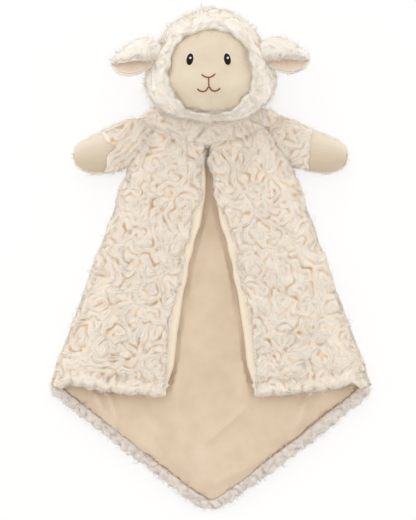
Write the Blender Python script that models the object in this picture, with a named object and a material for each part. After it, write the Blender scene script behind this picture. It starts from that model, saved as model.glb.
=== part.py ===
"""Comfort blanket lovey: a lamb's stuffed head, ears and paws on a folded plush blanket.

It lies on its back, as it is laid out for use. Metres, +Z up, +Y towards the head. The origin is
on the surface that it lies on, under the middle of its length. Every soft piece is one closed
solid, made of an outer and an inner surface that are joined around their rims.
"""
import math

import bmesh
import bpy
import numpy as np

# Cloth: a plush with deep pile, and a flat velour
seam_gap = 0.0003
plush_thickness = 0.009
lining_thickness = 0.0016
fold_gap = 0.0006
head_plush_thickness = 0.007
limb_plush_thickness = 0.0026
velour_thickness = 0.0012
thread_thickness = 0.0009

# Blanket, from the neck seam down
neck_half_width = 0.050
armpit_half_width = 0.0756
armpit_drop = 0.044
fold_half_width = 0.1535
fold_drop = 0.256
tip_drop = 0.1195
tip_round_share = 0.051
hem_border = 0.0105
hem_rise = 0.0034
edge_round = 0.0035

# Shares of the hem's border outwards from its seam, and of its rise over the plush there
hem_level_shares = (0.16, 0.50, 0.84, 1.0, 1.0)
hem_rise_shares = (0.80, 1.0, 0.70, -0.60, -1.60)

# Front, which opens as two flaps below a short closed seam
closed_seam = 0.020
front_drop = 0.259
front_hem_rise = 0.011
front_opening = 0.0427
lining_reveal = 0.0065
chest_drop = 0.096
chest_side_drop = 0.019
flap_loft = 0.003
flap_fold_depth = 0.0022
hem_bow_power = 3

# Shares of the way across a panel by its edge, and of the pile's height there
edge_shares = (0.0, 0.02, 0.06)
pile_edge_shares = (0.45, 0.80)

# Shares of the way down from the closed seam, and of the opening's half width there
opening_level_shares = (0.0, 0.20, 0.32, 0.43, 0.54, 0.63, 0.75, 0.88, 1.0)
opening_width_shares = (0.0, 0.10, 0.24, 0.42, 0.54, 0.63, 0.75, 0.83, 1.0)

# Head
head_half_width = 0.0590
head_half_height = 0.0552
head_half_depth = 0.0460
head_flat = 0.0025
head_neck_gap = 0.0030
crown_share = 1.0
jowl_share = 0.75
pear_share = 0.175
depth_share = 0.80
section_share = 2.2

# Face, set into the head's front
face_half_width = 0.0404
face_half_height = 0.0406
face_drop = 0.0088
face_sink = 0.0050
face_round_share = 0.85
muzzle_drop = 0.0160
muzzle_half_width = 0.0240
muzzle_half_height = 0.0175
muzzle_rise = 0.0060

# Embroidery, measured from the middle of the face
eye_half_width = 0.0034
eye_half_height = 0.0058
eye_spacing = 0.0356
eye_rise = 0.0140
eye_lean = 0.0007
highlight_radius = 0.0011
thread_width = 0.0014
nose_width = 0.0134
nose_depth = 0.0032
nose_drop = 0.0034
lip_length = 0.0080
mouth_width = 0.0220
mouth_depth = 0.0048

# Shares of the nose's and the mouth's half widths, and of their depths there
nose_across_shares = (-1.0, -0.5, 0.0, 0.5, 1.0)
nose_up_shares = (1.0, 0.33, 0.0, 0.33, 1.0)
mouth_across_shares = (0.40, 0.67, 1.0)
mouth_down_shares = (0.75, 0.75, 0.25)

# Shares of an eye's radius, and of the thread's thickness there and across a line
oval_ring_shares = (1.0, 0.8, 0.1)
oval_crown_shares = (0.5, 1.0, 1.0)
line_crown_shares = (0.6, 1.0, 0.6)

# Neck: a gathered roll that carries the head
neck_roll_half_width = 0.021
neck_roll_radius = 0.0062
neck_roll_setback = 0.0003
neck_roll_taper = 0.5

# Arms
shoulder_knuckle = 0.0050
arm_length = 0.0655
arm_sweep = 0.0100
arm_root_half_width = 0.0240
paw_half_width = 0.0208
paw_thickness = 0.030
paw_flat = 0.0005
paw_swell_share = 0.60
cuff_share = 0.50
pad_inset = 0.0012
arm_section_share = 2.3
arm_end_angle = math.radians(86)
arm_fill_share = 0.1
knuckle_shares = (-0.98, -0.80, -0.45)

# Ears
ear_length = 0.0400
ear_width = 0.0360
ear_droop = 0.0120
ear_droop_power = 1.5
ear_sweep = 0.0060
ear_lean_share = 0.30
ear_root_share = 0.20
ear_leaf_share = 0.60
ear_root_out = 0.0028
ear_root_level = 0.0100
ear_root_height = 0.0205
ear_half_height = 0.0080
ear_root_half_height = 0.0056
ear_tip_half_height = 0.0050
ear_height_shares = (0.0, 0.4, 1.0)
ear_plush_thickness = 0.0026
ear_flap_angle = math.radians(112)
ear_back_angle = math.radians(-158)
ear_reach_share = 0.94

# Numbers of steps
blanket_rows = 12
blanket_columns = 16
front_rows = 12
front_columns = 10
chest_rows = 5
around_steps = 28
head_steps = 7
arm_steps = 9
arm_across_steps = 8
ear_steps = 8
ear_around_steps = 10
oval_steps = 16
line_steps = 4
neck_steps = 12
quarter = math.pi / 2
full_turn = 2 * math.pi

# Places that follow from the sizes
tip_fall = tip_drop * (1 - tip_round_share / math.hypot(1, tip_round_share))
part_length = 2 * head_half_height + head_neck_gap + fold_drop + tip_fall
neck_y = fold_drop + tip_fall - part_length / 2
armpit_y = neck_y - armpit_drop
fold_y = neck_y - fold_drop
chest_y = neck_y - chest_drop
front_y = neck_y - front_drop
closed_y = neck_y - closed_seam
lining_z = plush_thickness + seam_gap
fold_axis_z = lining_z + lining_thickness + fold_gap / 2
front_lining_z = fold_axis_z + fold_gap / 2
front_plush_z = front_lining_z + lining_thickness + seam_gap
hem_border_drop = hem_border * math.hypot(fold_half_width, tip_drop) / fold_half_width
head_y = neck_y + head_neck_gap + head_half_height
head_z = head_half_depth - head_flat
face_y = head_y - face_drop
muzzle_y = face_y - muzzle_drop
roll_y = neck_y + neck_roll_setback + neck_roll_radius

colours = {
    "plush": (0.88, 0.82, 0.74),
    "lining": (0.78, 0.66, 0.50),
    "velour": (0.80, 0.70, 0.56),
    "ear velour": (0.76, 0.62, 0.46),
    "stuffing": (0.90, 0.90, 0.88),
    "black thread": (0.01, 0.01, 0.01),
    "white thread": (0.95, 0.95, 0.95),
    "brown thread": (0.25, 0.10, 0.05),
}


def clear_scene():
    """Remove whatever the scene holds."""
    for thing in list(bpy.data.objects):
        bpy.data.objects.remove(thing)


def fabric(kind):
    """One matt material for each kind of cloth or thread."""
    if kind in bpy.data.materials:
        return bpy.data.materials[kind]
    material = bpy.data.materials.new(kind)
    material.use_nodes = True
    shader = material.node_tree.nodes["Principled BSDF"]
    shader.inputs["Base Color"].default_value = (*colours[kind], 1)
    shader.inputs["Roughness"].default_value = 0.9
    shader.inputs["Metallic"].default_value = 0
    return material


def strips(first, second):
    """Four-sided faces between two equal rows of vertices."""
    pairs = zip(first[:-1], second[:-1], second[1:], first[1:])
    return [list(corners) for corners in pairs]


def closed(row):
    """A row that comes back to its first vertex."""
    return list(row) + [row[0]]


def make_node(name, points, faces, kind, origin):
    """An object with its origin on its joint, its faces turned outwards and one material."""
    mesh = bpy.data.meshes.new(name)
    mesh.from_pydata([tuple(p) for p in points - np.array(origin)], [], faces)
    shape = bmesh.new()
    shape.from_mesh(mesh)
    loose = [v for v in shape.verts if not v.link_faces]
    bmesh.ops.delete(shape, geom=loose, context="VERTS")
    bmesh.ops.recalc_face_normals(shape, faces=shape.faces)
    shape.to_mesh(mesh)
    shape.free()
    mesh.shade_smooth()
    mesh.set_sharp_from_angle(angle=math.radians(50))
    mesh.materials.append(fabric(kind))
    node = bpy.data.objects.new(name, mesh)
    node.location = origin
    bpy.context.collection.objects.link(node)
    return node


def cloth(name, outer, inner, kind, origin, around=False, capped=False):
    """A solid between two grids of points: its outer and inner surfaces and its rims.

    around joins the last column to the first, and capped closes each surface over its last row.
    """
    rows, columns = outer.shape[:2]
    points = np.vstack([outer.reshape(-1, 3), inner.reshape(-1, 3)])
    upper = np.arange(rows * columns).reshape(rows, columns)
    lower = upper + rows * columns
    turn = closed if around else list
    faces = []
    for grid in (upper, lower):
        for row, following in zip(grid[:-1], grid[1:]):
            faces += strips(turn(row), turn(following))
    faces += strips(turn(upper[0]), turn(lower[0]))
    if capped:
        faces += [list(upper[-1]), list(lower[-1])]
    else:
        faces += strips(turn(upper[-1]), turn(lower[-1]))
    if not around:
        faces += strips(list(upper[:, 0]), list(lower[:, 0]))
        faces += strips(list(upper[:, -1]), list(lower[:, -1]))
    return make_node(name, points, faces, kind, origin)


def bundle(name, rings, kind, origin):
    """A solid lofted through closed rings of points, with a flat cap at each end."""
    points = rings.reshape(-1, 3)
    grid = np.arange(len(points)).reshape(rings.shape[:2])
    faces = [list(grid[0]), list(grid[-1])]
    for row, following in zip(grid[:-1], grid[1:]):
        faces += strips(closed(row), closed(following))
    return make_node(name, points, faces, kind, origin)


def stack(x, y, z):
    """Three arrays of one shape, or numbers, as one array of points."""
    return np.stack(np.broadcast_arrays(x, y, z), axis=-1).astype(float)


def side_x(y):
    """The blanket's half width at y: from the neck out to the armpit, then out along the fold."""
    levels = (fold_y, armpit_y, neck_y)
    widths = (fold_half_width, armpit_half_width, neck_half_width)
    return np.interp(y, levels, widths)


def opening_x(y):
    """How far a flap's lining edge stands from the middle line at y."""
    levels = closed_y - np.array(opening_level_shares) * (closed_y - front_y)
    widths = np.array(opening_width_shares) * front_opening + seam_gap / 2
    return np.interp(-y, -levels, widths)


def edge_steps(steps):
    """Shares across a cloth, closer together by both edges."""
    close = np.array(edge_shares)
    middle = np.linspace(close[-1], 1 - close[-1], steps)
    return np.concatenate([close[:-1], middle, 1 - close[-2::-1]])


def pile_edge(count, first, last):
    """Shares of the pile's height along a row: it rounds down by the edges that are free."""
    height = np.ones(count)
    if first:
        height[:2] = pile_edge_shares
    if last:
        height[-2:] = pile_edge_shares[::-1]
    return height


def blanket_sheet(levels, sags, inset, z):
    """A grid over the back, one row for each side level.

    sag, from 0 to 1, pulls a row's middle down towards the tip, and inset draws its sides in.
    """
    across = np.linspace(-1, 1, blanket_columns + 1)
    fall = 1 - np.hypot(across, tip_round_share) / math.hypot(1, tip_round_share)
    x = across * (side_x(levels) - inset)[:, None]
    y = levels[:, None] - tip_drop * sags[:, None] * fall
    return stack(x, y, z)


def hem_heights(rows):
    """The plush's top: level, then over the hem a rise that fades towards the two side folds."""
    across = np.linspace(-1, 1, blanket_columns + 1)
    fade = np.clip((1 - np.abs(across)) * blanket_columns / 2, 0, 1)
    rises = np.array(hem_rise_shares)[:, None]
    heights = np.full((rows + len(rises), len(across)), plush_thickness)
    heights[rows:] += hem_rise * np.where(rises > 0, rises * fade, rises)
    return heights


def add_blanket_back():
    """The back: a plush with a rolled hem along its point, and the lining that lies on it."""
    main = np.linspace(0, 1, blanket_rows)
    seam_y = fold_y + hem_border_drop
    levels = neck_y + (seam_y - neck_y) * main
    sags = main ** 2
    hem_levels = seam_y - np.array(hem_level_shares) * hem_border_drop
    all_levels = np.concatenate([levels, hem_levels])
    all_sags = np.concatenate([sags, np.ones(len(hem_levels))])
    heights = hem_heights(len(levels))
    step = edge_round / 2
    middle = blanket_sheet(all_levels, all_sags, step, heights)
    brim = blanket_sheet(all_levels, all_sags, 0, heights - step)
    side = blanket_sheet(all_levels, all_sags, 0, heights / 2)
    left = [side[:, :1], brim[:, :1]]
    right = [brim[:, -1:], side[:, -1:]]
    top = np.concatenate([*left, middle, *right], axis=1)
    base_levels = np.concatenate([levels, hem_levels + edge_round])
    base_levels[0] -= edge_round
    base = blanket_sheet(base_levels, all_sags, edge_round, 0)
    add_flat_based("blanket_back_plush", top, base, "plush")

    levels = levels + seam_gap
    levels[0] = neck_y
    low = blanket_sheet(levels, sags, step + seam_gap, lining_z)
    high = blanket_sheet(levels, sags, step + seam_gap, lining_z + lining_thickness)
    cloth("blanket_back_lining", high, low, "lining", (0, 0, 0))


def rim_of(grid):
    """The items around a grid's rim, in order."""
    return [*grid[0], *grid[1:-1, -1], *grid[-1, ::-1], *grid[-2:0:-1, 0]]


def add_flat_based(name, top, base, kind):
    """A solid with a grid on top, and below it one flat polygon with the base grid's rim.

    The top has extra columns at each side; each meets the base rim's nearest corner.
    """
    rows, columns = top.shape[:2]
    extra = (columns - base.shape[1]) // 2
    grid = np.arange(rows * columns).reshape(rows, columns)
    under = np.arange(rows * base.shape[1]).reshape(rows, base.shape[1])
    rim = rim_of(under)
    place = {point: rows * columns + n for n, point in enumerate(rim)}
    points = np.vstack([top.reshape(-1, 3), base.reshape(-1, 3)[rim]])
    spread = np.concatenate([under[:, :1]] * extra + [under] + [under[:, -1:]] * extra, axis=1)
    faces = []
    for row, following in zip(grid[:-1], grid[1:]):
        faces += strips(list(row), list(following))
    loop = list(zip(rim_of(grid), rim_of(spread)))
    for (here, low), (there, next_low) in zip(loop, loop[1:] + loop[:1]):
        corners = [here, there, place[next_low], place[low]]
        faces.append(corners[:3] if low == next_low else corners)
    faces.append([place[point] for point in rim])
    make_node(name, points, faces, kind, (0, 0, 0))


def front_plan(levels_in, levels_out, columns, bulge=0):
    """A plan grid over one half of the front: the lining's edge, then the plush out to the side."""
    showing = np.clip((closed_y - levels_in) / lining_reveal, 0, 1)
    edge_x = opening_x(levels_in)
    inner_x = edge_x + np.maximum(lining_reveal * showing, 2 * seam_gap)
    outer_x = side_x(levels_out) - 2 * seam_gap
    x = inner_x[:, None] + (outer_x - inner_x)[:, None] * columns
    y = levels_in[:, None] + (levels_out - levels_in)[:, None] * columns
    down = np.linspace(0, 1, len(levels_in))[:, None]
    y = y - bulge * np.sin(math.pi * columns) * down ** hem_bow_power
    x = np.concatenate([edge_x[:, None], x], axis=1)
    return x, np.concatenate([levels_in[:, None], y], axis=1)


def flap_lift(x, y):
    """How far a flap stands clear of the back: a soft loft, and two shallow folds to the hem."""
    down = np.clip((chest_y - y) / (chest_y - front_y), 0, 1)
    edge_x = opening_x(y)
    across = np.clip((x - edge_x) / (side_x(y) - edge_x), 0, 1)
    folds = np.sin(full_turn * across) ** 2
    return down * (flap_loft * np.sin(math.pi * across) + flap_fold_depth * folds)


def mirrored(points, side):
    """The same points for the left, -1, or the right, 1."""
    return points * np.array((side, 1, 1))


def add_layers(part, label, side, plan, lift, edge, origin):
    """A front panel's lining, and its plush on top with a pile that rounds down at its edges."""
    x, y = plan
    low = stack(x, y, front_lining_z + lift)
    high = stack(x, y, front_lining_z + lining_thickness + lift)
    cloth(f"{part}_{label}_lining", mirrored(high, side), mirrored(low, side), "lining", origin)
    low = stack(x, y, front_plush_z + lift)[:, 1:]
    high = stack(x, y, front_plush_z + lift)[:, 1:]
    high[..., 2] += plush_thickness * edge
    cloth(f"{part}_{label}_plush", mirrored(high, side), mirrored(low, side), "plush", origin)


def add_front(label, side):
    """One half of the front: the sewn chest above, and the flap that opens below it."""
    chest_side_y = armpit_y - chest_side_drop
    armpit_share = armpit_drop / (armpit_drop + chest_side_drop)
    upper = np.linspace(edge_shares[-1], armpit_share, chest_rows)
    rows = np.concatenate([edge_shares[:-1], upper, np.linspace(armpit_share, 1, 3)[1:]])
    levels_in = neck_y + (chest_y - neck_y) * rows
    levels_out = neck_y + (chest_side_y - neck_y) * rows
    columns = edge_steps(front_columns)[None, :]
    down_edge = pile_edge(len(rows), True, False)[:, None]
    across_edge = pile_edge(columns.size, False, True)[None, :]
    plan = front_plan(levels_in, levels_out, columns)
    add_layers("chest", label, side, plan, 0, down_edge * across_edge, (0, 0, 0))

    rows = np.linspace(0, 1, front_rows + 1)
    rows = np.concatenate([rows[:-1], 1 - np.array(edge_shares[:0:-1]), rows[-1:]])
    levels_in = chest_y - 2 * seam_gap + (front_y - chest_y) * rows
    flap_side_y = fold_y + front_hem_rise
    levels_out = chest_side_y - 2 * seam_gap + (flap_side_y - chest_side_y) * rows
    hinge = (side * armpit_half_width, armpit_y, fold_axis_z)
    down_edge = pile_edge(len(rows), False, True)[:, None]
    across_edge = pile_edge(columns.size, True, True)[None, :]
    plan = front_plan(levels_in, levels_out, columns, hem_rise)
    add_layers("flap", label, side, plan, flap_lift(*plan), down_edge * across_edge, hinge)


def head_rise(y, inset):
    """How full the head is at y, from 0 at its top and bottom to 1 at its middle."""
    level = np.clip((y - head_y) / (head_half_height - inset), -1, 1)
    return level, np.sqrt(1 - level ** 2)


def head_width(y, inset):
    """The head's half width at y: an oval that is fuller and squarer at the jowls."""
    level, rise = head_rise(y, inset)
    power = np.where(level > 0, crown_share, jowl_share)
    return (head_half_width - inset) * rise ** power * (1 - pear_share * level)


def head_height(x, y, inset, side):
    """The z of the head's front, side 1, or its back, side -1, over a point of its plan."""
    rise = head_rise(y, inset)[1]
    width = np.maximum(head_width(y, inset), seam_gap)
    across = np.clip(np.abs(x) / width, 0, 1)
    depth = (head_half_depth - inset) * rise ** depth_share
    z = head_z + side * depth * (1 - across ** section_share) ** (1 / section_share)
    return np.maximum(z, inset)


def head_outline(turn, inset):
    """The head's outline in plan, once around from its top."""
    y = head_y + (head_half_height - inset) * np.cos(turn)
    return np.sign(np.sin(turn)) * head_width(y, inset), y


def face_outline(turn, inset):
    """The face's outline in plan, a soft-cornered oval, once around from its top."""
    rise = np.abs(np.sin(turn)) ** face_round_share
    x = np.sign(np.sin(turn)) * (face_half_width - inset) * rise
    return x, face_y + (face_half_height - inset) * np.cos(turn)


def face_height(x, y):
    """The z of the face: the head's front, sunk by the pile's depth, with a raised muzzle."""
    away = np.hypot(x / muzzle_half_width, (y - muzzle_y) / muzzle_half_height)
    bump = muzzle_rise * np.exp(-away ** 2)
    return head_height(x, y, face_sink, 1) + bump


def around():
    """Angles once around the head, the last one short of the first."""
    return np.arange(around_steps) * full_turn / around_steps + full_turn / around_steps / 2


def add_head_front():
    """The plush that frames the face, from the face's seam out to the seam behind the ears."""
    turn = around()[None, :]
    share = np.sin(np.linspace(0, quarter, head_steps))[:, None]
    grids = []
    for inset in (0, head_plush_thickness):
        face_x, face_edge_y = face_outline(turn, 0)
        rim_x, rim_y = head_outline(turn, inset)
        x = face_x + (rim_x - face_x) * share
        y = face_edge_y + (rim_y - face_edge_y) * share
        z = head_height(x, y, inset, 1)
        z[-1] = head_z
        grids.append(stack(x, y, z))
    cloth("head_front_plush", *grids, "plush", turn_origin(), around=True)


def add_head_back():
    """The bowl of plush behind, flat where the head lies."""
    turn = around()[None, :]
    share = np.cos(np.linspace(0, quarter, head_steps + 2))[:-1, None]
    grids = []
    for inset in (0, head_plush_thickness):
        rim_x, rim_y = head_outline(turn, inset)
        x = rim_x * share
        y = head_y + (rim_y - head_y) * share
        z = head_height(x, y, inset, -1)
        z[0] = head_z
        z = np.maximum(z - seam_gap, inset)
        grids.append(stack(x, y, z))
    cloth("head_back_plush", *grids, "plush", turn_origin(), around=True, capped=True)


def add_head_stuffing():
    """The fibre ball that fills the head."""
    turn = around()[None, :]
    polar = np.linspace(0, math.pi, 2 * head_steps)[1:-1, None]
    inset = head_plush_thickness + 2 * seam_gap
    rim_x, rim_y = head_outline(turn, inset)
    share = np.sin(polar)
    x = rim_x * share
    y = head_y + (rim_y - head_y) * share
    front = head_height(x, y, inset, 1)
    back = head_height(x, y, inset, -1)
    z = np.where(polar < quarter, front, back)
    bundle("head_stuffing", stack(x, y, z), "stuffing", turn_origin())


def turn_origin():
    """A point on the line that the head turns about."""
    return (0, roll_y, fold_axis_z)


def add_face():
    """The velour face, sunk below the pile around it."""
    turn = around()[None, :]
    share = np.linspace(1, 0, 2 * head_steps, endpoint=False)[:, None]
    share = np.vstack([share, share[-1:] / head_steps])
    rim_x, rim_y = face_outline(turn, seam_gap)
    x = rim_x * share
    y = face_y + (rim_y - face_y) * share
    z = face_height(x, y)
    outer = stack(x, y, z)
    inner = stack(x, y, z - velour_thickness)
    cloth("face_velour", outer, inner, "velour", turn_origin(), around=True, capped=True)


def add_oval(name, centre, half_width, half_height, lean, lift, thickness, kind):
    """A raised oval of satin stitch on the face; lean shifts its top sideways."""
    turn = np.arange(oval_steps)[None, :] * full_turn / oval_steps
    share = np.array(oval_ring_shares)[:, None]
    crown = thickness * np.array(oval_crown_shares)[:, None]
    x = centre[0] + half_width * np.sin(turn) * share + lean * np.cos(turn) * share
    y = centre[1] + half_height * np.cos(turn) * share
    base = face_height(x, y) + lift
    outer = stack(x, y, base + crown)
    cloth(name, outer, stack(x, y, base), kind, turn_origin(), around=True, capped=True)


def add_line(name, corners, lift):
    """A flat line of thread over the face, along a smooth curve through its corner points."""
    corners = np.array(corners)
    steps = np.linspace(0, len(corners) - 1, line_steps * (len(corners) - 1) + 1)
    knots = np.arange(len(corners))
    path = np.stack([np.interp(steps, knots, corners[:, n]) for n in (0, 1)], axis=1)
    path[1:-1] = (path[:-2] + 2 * path[1:-1] + path[2:]) / 4
    along = np.gradient(path, axis=0)
    along /= np.linalg.norm(along, axis=1)[:, None]
    across = np.stack([-along[:, 1], along[:, 0]], axis=1)
    shift = np.array((-1, 0, 1))[None, :] * thread_width / 2
    x = path[:, :1] + across[:, :1] * shift
    y = path[:, 1:] + across[:, 1:] * shift
    base = face_height(x, y) + lift
    crown = thread_thickness * np.array(line_crown_shares)[None, :]
    outer = stack(x, y, base + crown)
    cloth(name, outer, stack(x, y, base), "brown thread", turn_origin())


def add_embroidery():
    """Eyes with their highlights, the nose, the lip line and the two halves of the mouth."""
    for label, side in (("left", -1), ("right", 1)):
        eye = (side * eye_spacing / 2, face_y + eye_rise)
        add_oval(f"eye_{label}", eye, eye_half_width, eye_half_height, -side * eye_lean,
                 seam_gap, thread_thickness, "black thread")
        shine = (eye[0] + highlight_radius / 2, eye[1] + highlight_radius)
        add_oval(f"eye_{label}_highlight", shine, highlight_radius, highlight_radius, 0,
                 thread_thickness + 2 * seam_gap, thread_thickness / 2, "white thread")
    nose_y = face_y - nose_drop
    nose_x = nose_width / 2 * np.array(nose_across_shares)
    nose_rise = nose_depth * np.array(nose_up_shares)
    add_line("nose_stitching", list(zip(nose_x, nose_y + nose_rise)), seam_gap)
    clear = thread_width / 2 + seam_gap
    lip_y = nose_y - clear - lip_length
    add_line("lip_stitching", [(0, nose_y - clear), (0, lip_y)], seam_gap)
    for label, side in (("left", -1), ("right", 1)):
        mouth_x = side * mouth_width / 2 * np.array(mouth_across_shares)
        mouth_fall = mouth_depth * np.array(mouth_down_shares)
        mouth = [(side * clear, lip_y), *zip(mouth_x, lip_y - mouth_fall)]
        add_line(f"mouth_{label}_stitching", mouth, seam_gap)


def add_neck():
    """The gathered roll behind the chin, drawn in at both ends; the head nods about its middle."""
    polar = np.linspace(0, math.pi, neck_steps)[1:-1, None]
    turn = np.arange(neck_steps)[None, :] * full_turn / neck_steps
    radius = neck_roll_radius * np.sin(polar) ** neck_roll_taper
    x = -neck_roll_half_width * np.cos(polar) + 0 * turn
    y = roll_y + radius * np.cos(turn)
    z = fold_axis_z + radius * np.sin(turn)
    bundle("neck_gather", stack(x, y, z), "plush", turn_origin())


def arm_frame():
    """The arm's root, the way out of its seam, its length, and the ways across its two ends."""
    seam = np.array((armpit_half_width - neck_half_width, -armpit_drop))
    seam = seam / np.linalg.norm(seam)
    outward = np.array((-seam[1], seam[0]))
    middle = np.array(((neck_half_width + armpit_half_width) / 2, neck_y - armpit_drop / 2))
    root = middle + outward * (shoulder_knuckle - seam_gap)
    along = np.array((arm_length, -arm_sweep))
    tip_across = np.array((arm_sweep, arm_length)) / np.hypot(arm_length, arm_sweep)
    return root, outward, along, -seam, tip_across


def arm_size(share, inset):
    """The arm's half width, half thickness and middle height at a share of its length."""
    swell = np.clip(share / paw_swell_share, 0, 1)
    ease = swell * swell * (3 - 2 * swell)
    beyond = np.clip((share - paw_swell_share) / (1 - paw_swell_share), 0, 1)
    close = np.sqrt(1 - beyond ** 2)
    before = np.clip(-share * arm_length / shoulder_knuckle, 0, 1)
    knuckle = np.sqrt(1 - before ** 2)
    half_width = arm_root_half_width + (paw_half_width - arm_root_half_width) * swell
    half_thick = shoulder_knuckle + (paw_thickness / 2 - shoulder_knuckle) * ease
    middle_z = fold_axis_z + (paw_thickness / 2 - paw_flat - fold_axis_z) * ease
    half_width = np.maximum(half_width - inset, seam_gap) * close
    half_thick = np.maximum(half_thick - inset, seam_gap) * close * knuckle
    return half_width, half_thick, middle_z


def arm_surface(shares, across, inset, side):
    """A grid over the arm's front, side 1, or its back, side -1; shares run from root to tip."""
    root, outward, along, root_across, tip_across = arm_frame()
    share = shares[:, None]
    half_width, half_thick, middle_z = arm_size(share, inset)
    turn = np.clip(share / paw_swell_share, 0, 1)
    direction = root_across * (1 - turn[..., None]) + tip_across * turn[..., None]
    direction = direction / np.linalg.norm(direction, axis=-1, keepdims=True)
    beyond = np.clip(share - cuff_share, 0, 1) / (1 - cuff_share)
    reach = share - beyond * inset / arm_length
    inward = outward * np.minimum(reach, 0)[..., None] * arm_length
    centre = root + along * np.maximum(reach, 0)[..., None] + inward
    place = centre + direction * (half_width * across)[..., None]
    bow = (1 - np.abs(across) ** arm_section_share) ** (1 / arm_section_share)
    z = middle_z + side * half_thick * bow
    return stack(place[..., 0], place[..., 1], np.maximum(z, inset))


def arm_shares(first, last):
    """Shares along the arm, close together where the paw rounds off."""
    beyond = np.sin(np.linspace(0, arm_end_angle, arm_steps // 2 + 1))
    round_end = paw_swell_share + (1 - paw_swell_share) * beyond
    shares = np.concatenate([np.linspace(0, paw_swell_share, arm_steps)[:-1], round_end])
    inside = shares[(shares > first) & (shares < last)]
    return np.concatenate([[first], inside, [last]])


def add_arm(label, side):
    """An arm: plush behind, a plush sleeve and a velour pad in front, and fibre inside."""
    root = arm_frame()[0]
    origin = (side * root[0], root[1], fold_axis_z)
    across = np.sin(np.linspace(-quarter, quarter, arm_across_steps + 1))[None, :]
    knuckle = np.array(knuckle_shares) * shoulder_knuckle / arm_length
    end = arm_shares(0, 1)[-2]
    wall = limb_plush_thickness
    whole = np.concatenate([knuckle, arm_shares(0, end)])
    outer = arm_surface(whole, across, 0, -1)
    inner = arm_surface(inner_shares(whole, wall), across, wall, -1)
    cloth(f"arm_{label}_back_plush", mirrored(outer, side), mirrored(inner, side), "plush", origin)

    sleeve = np.concatenate([knuckle, arm_shares(0, cuff_share)])
    lift = np.array((0, 0, seam_gap))
    outer = arm_surface(sleeve, across, 0, 1) + lift
    inner = arm_surface(inner_shares(sleeve, wall), across, wall, 1) + lift
    cloth(f"arm_{label}_sleeve", mirrored(outer, side), mirrored(inner, side), "plush", origin)

    pad = arm_shares(cuff_share + 2 * seam_gap / arm_length, end)
    outer = arm_surface(pad, across, pad_inset, 1) + lift
    inner = arm_surface(pad, across, wall, 1) + lift
    cloth(f"paw_{label}_pad", mirrored(outer, side), mirrored(inner, side), "velour", origin)

    fill = arm_shares(arm_fill_share, end)
    inset = wall + 2 * seam_gap
    front = arm_surface(fill, across, inset, 1)
    back = arm_surface(fill, across[:, ::-1], inset, -1)
    rings = np.concatenate([front[:, :-1], back[:, :-1]], axis=1)
    bundle(f"arm_{label}_stuffing", mirrored(rings, side), "stuffing", origin)


def inner_shares(shares, wall):
    """The same shares, with the rounded root drawn in by the wall."""
    return np.where(shares < 0, shares * (1 - wall / shoulder_knuckle), shares)


def ear_root():
    """The middle of the seam that holds the right ear: beside the head, forward of its middle."""
    y = head_y + ear_root_level
    z = head_z + ear_root_height
    fullness = 1 - (ear_root_height / head_half_depth) ** section_share
    x = float(head_width(np.array(y), 0)) * fullness ** (1 / section_share) + ear_root_out
    return np.array((x, y, z))


def ear_surface(shares, angles, inset, root):
    """A grid over the ear: an open oval across, folded over at the top, along a drooping line."""
    share = shares[:, None]
    spread = ear_root_share + (1 - ear_root_share) * share
    width = ear_width / 2 * np.sin(math.pi * spread) ** ear_leaf_share
    heights = (ear_root_half_height, ear_half_height, ear_tip_half_height)
    middle = np.interp(share, ear_height_shares, heights)
    out = root[0] + ear_length * share
    q = (width - inset) * np.cos(angles)
    y = root[1] - ear_sweep * share + q
    x = out - ear_lean_share * q
    z = root[2] - ear_droop * share ** ear_droop_power + (middle - inset) * np.sin(angles)
    return stack(x, y, z)


def add_ear(label, side):
    """An ear: a plush leaf folded forward along its top, with a velour lining inside."""
    root = ear_root()
    origin = (side * root[0], root[1], root[2])
    angles = np.linspace(ear_back_angle, ear_flap_angle, ear_around_steps)[None, :]
    shares = np.linspace(0, ear_reach_share, ear_steps)
    wall = ear_plush_thickness
    outer = mirrored(ear_surface(shares, angles, 0, root), side)
    inner = mirrored(ear_surface(shares, angles, wall, root), side)
    cloth(f"ear_{label}_plush", outer, inner, "plush", origin)
    shares = shares[:-1]
    start = wall + seam_gap
    outer = mirrored(ear_surface(shares, angles, start, root), side)
    inner = mirrored(ear_surface(shares, angles, start + velour_thickness, root), side)
    cloth(f"ear_{label}_velour", outer, inner, "ear velour", origin)


def build():
    """The whole lovey."""
    clear_scene()
    add_blanket_back()
    add_head_stuffing()
    add_head_back()
    add_head_front()
    add_face()
    add_embroidery()
    add_neck()
    for label, side in (("left", -1), ("right", 1)):
        add_front(label, side)
        add_arm(label, side)
        add_ear(label, side)


build()
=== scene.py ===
import math

import bpy
import numpy as np
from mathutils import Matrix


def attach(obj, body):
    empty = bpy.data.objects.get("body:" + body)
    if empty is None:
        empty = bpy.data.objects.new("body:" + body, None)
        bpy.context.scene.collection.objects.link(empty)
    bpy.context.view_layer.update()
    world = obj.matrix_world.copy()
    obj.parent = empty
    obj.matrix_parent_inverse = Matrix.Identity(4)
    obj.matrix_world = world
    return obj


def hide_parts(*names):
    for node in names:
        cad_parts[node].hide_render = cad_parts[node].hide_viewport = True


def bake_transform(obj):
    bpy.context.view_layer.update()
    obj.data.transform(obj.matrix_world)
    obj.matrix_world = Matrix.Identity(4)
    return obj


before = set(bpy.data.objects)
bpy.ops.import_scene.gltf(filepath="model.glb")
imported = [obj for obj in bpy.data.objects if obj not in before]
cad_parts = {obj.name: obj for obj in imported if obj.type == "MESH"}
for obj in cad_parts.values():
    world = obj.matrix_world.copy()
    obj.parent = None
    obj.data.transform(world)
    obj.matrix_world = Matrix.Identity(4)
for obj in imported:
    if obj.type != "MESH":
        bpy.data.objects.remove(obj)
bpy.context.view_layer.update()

quarter = math.pi / 2
full_turn = 2 * math.pi
sides = (("left", -1), ("right", 1))

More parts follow.
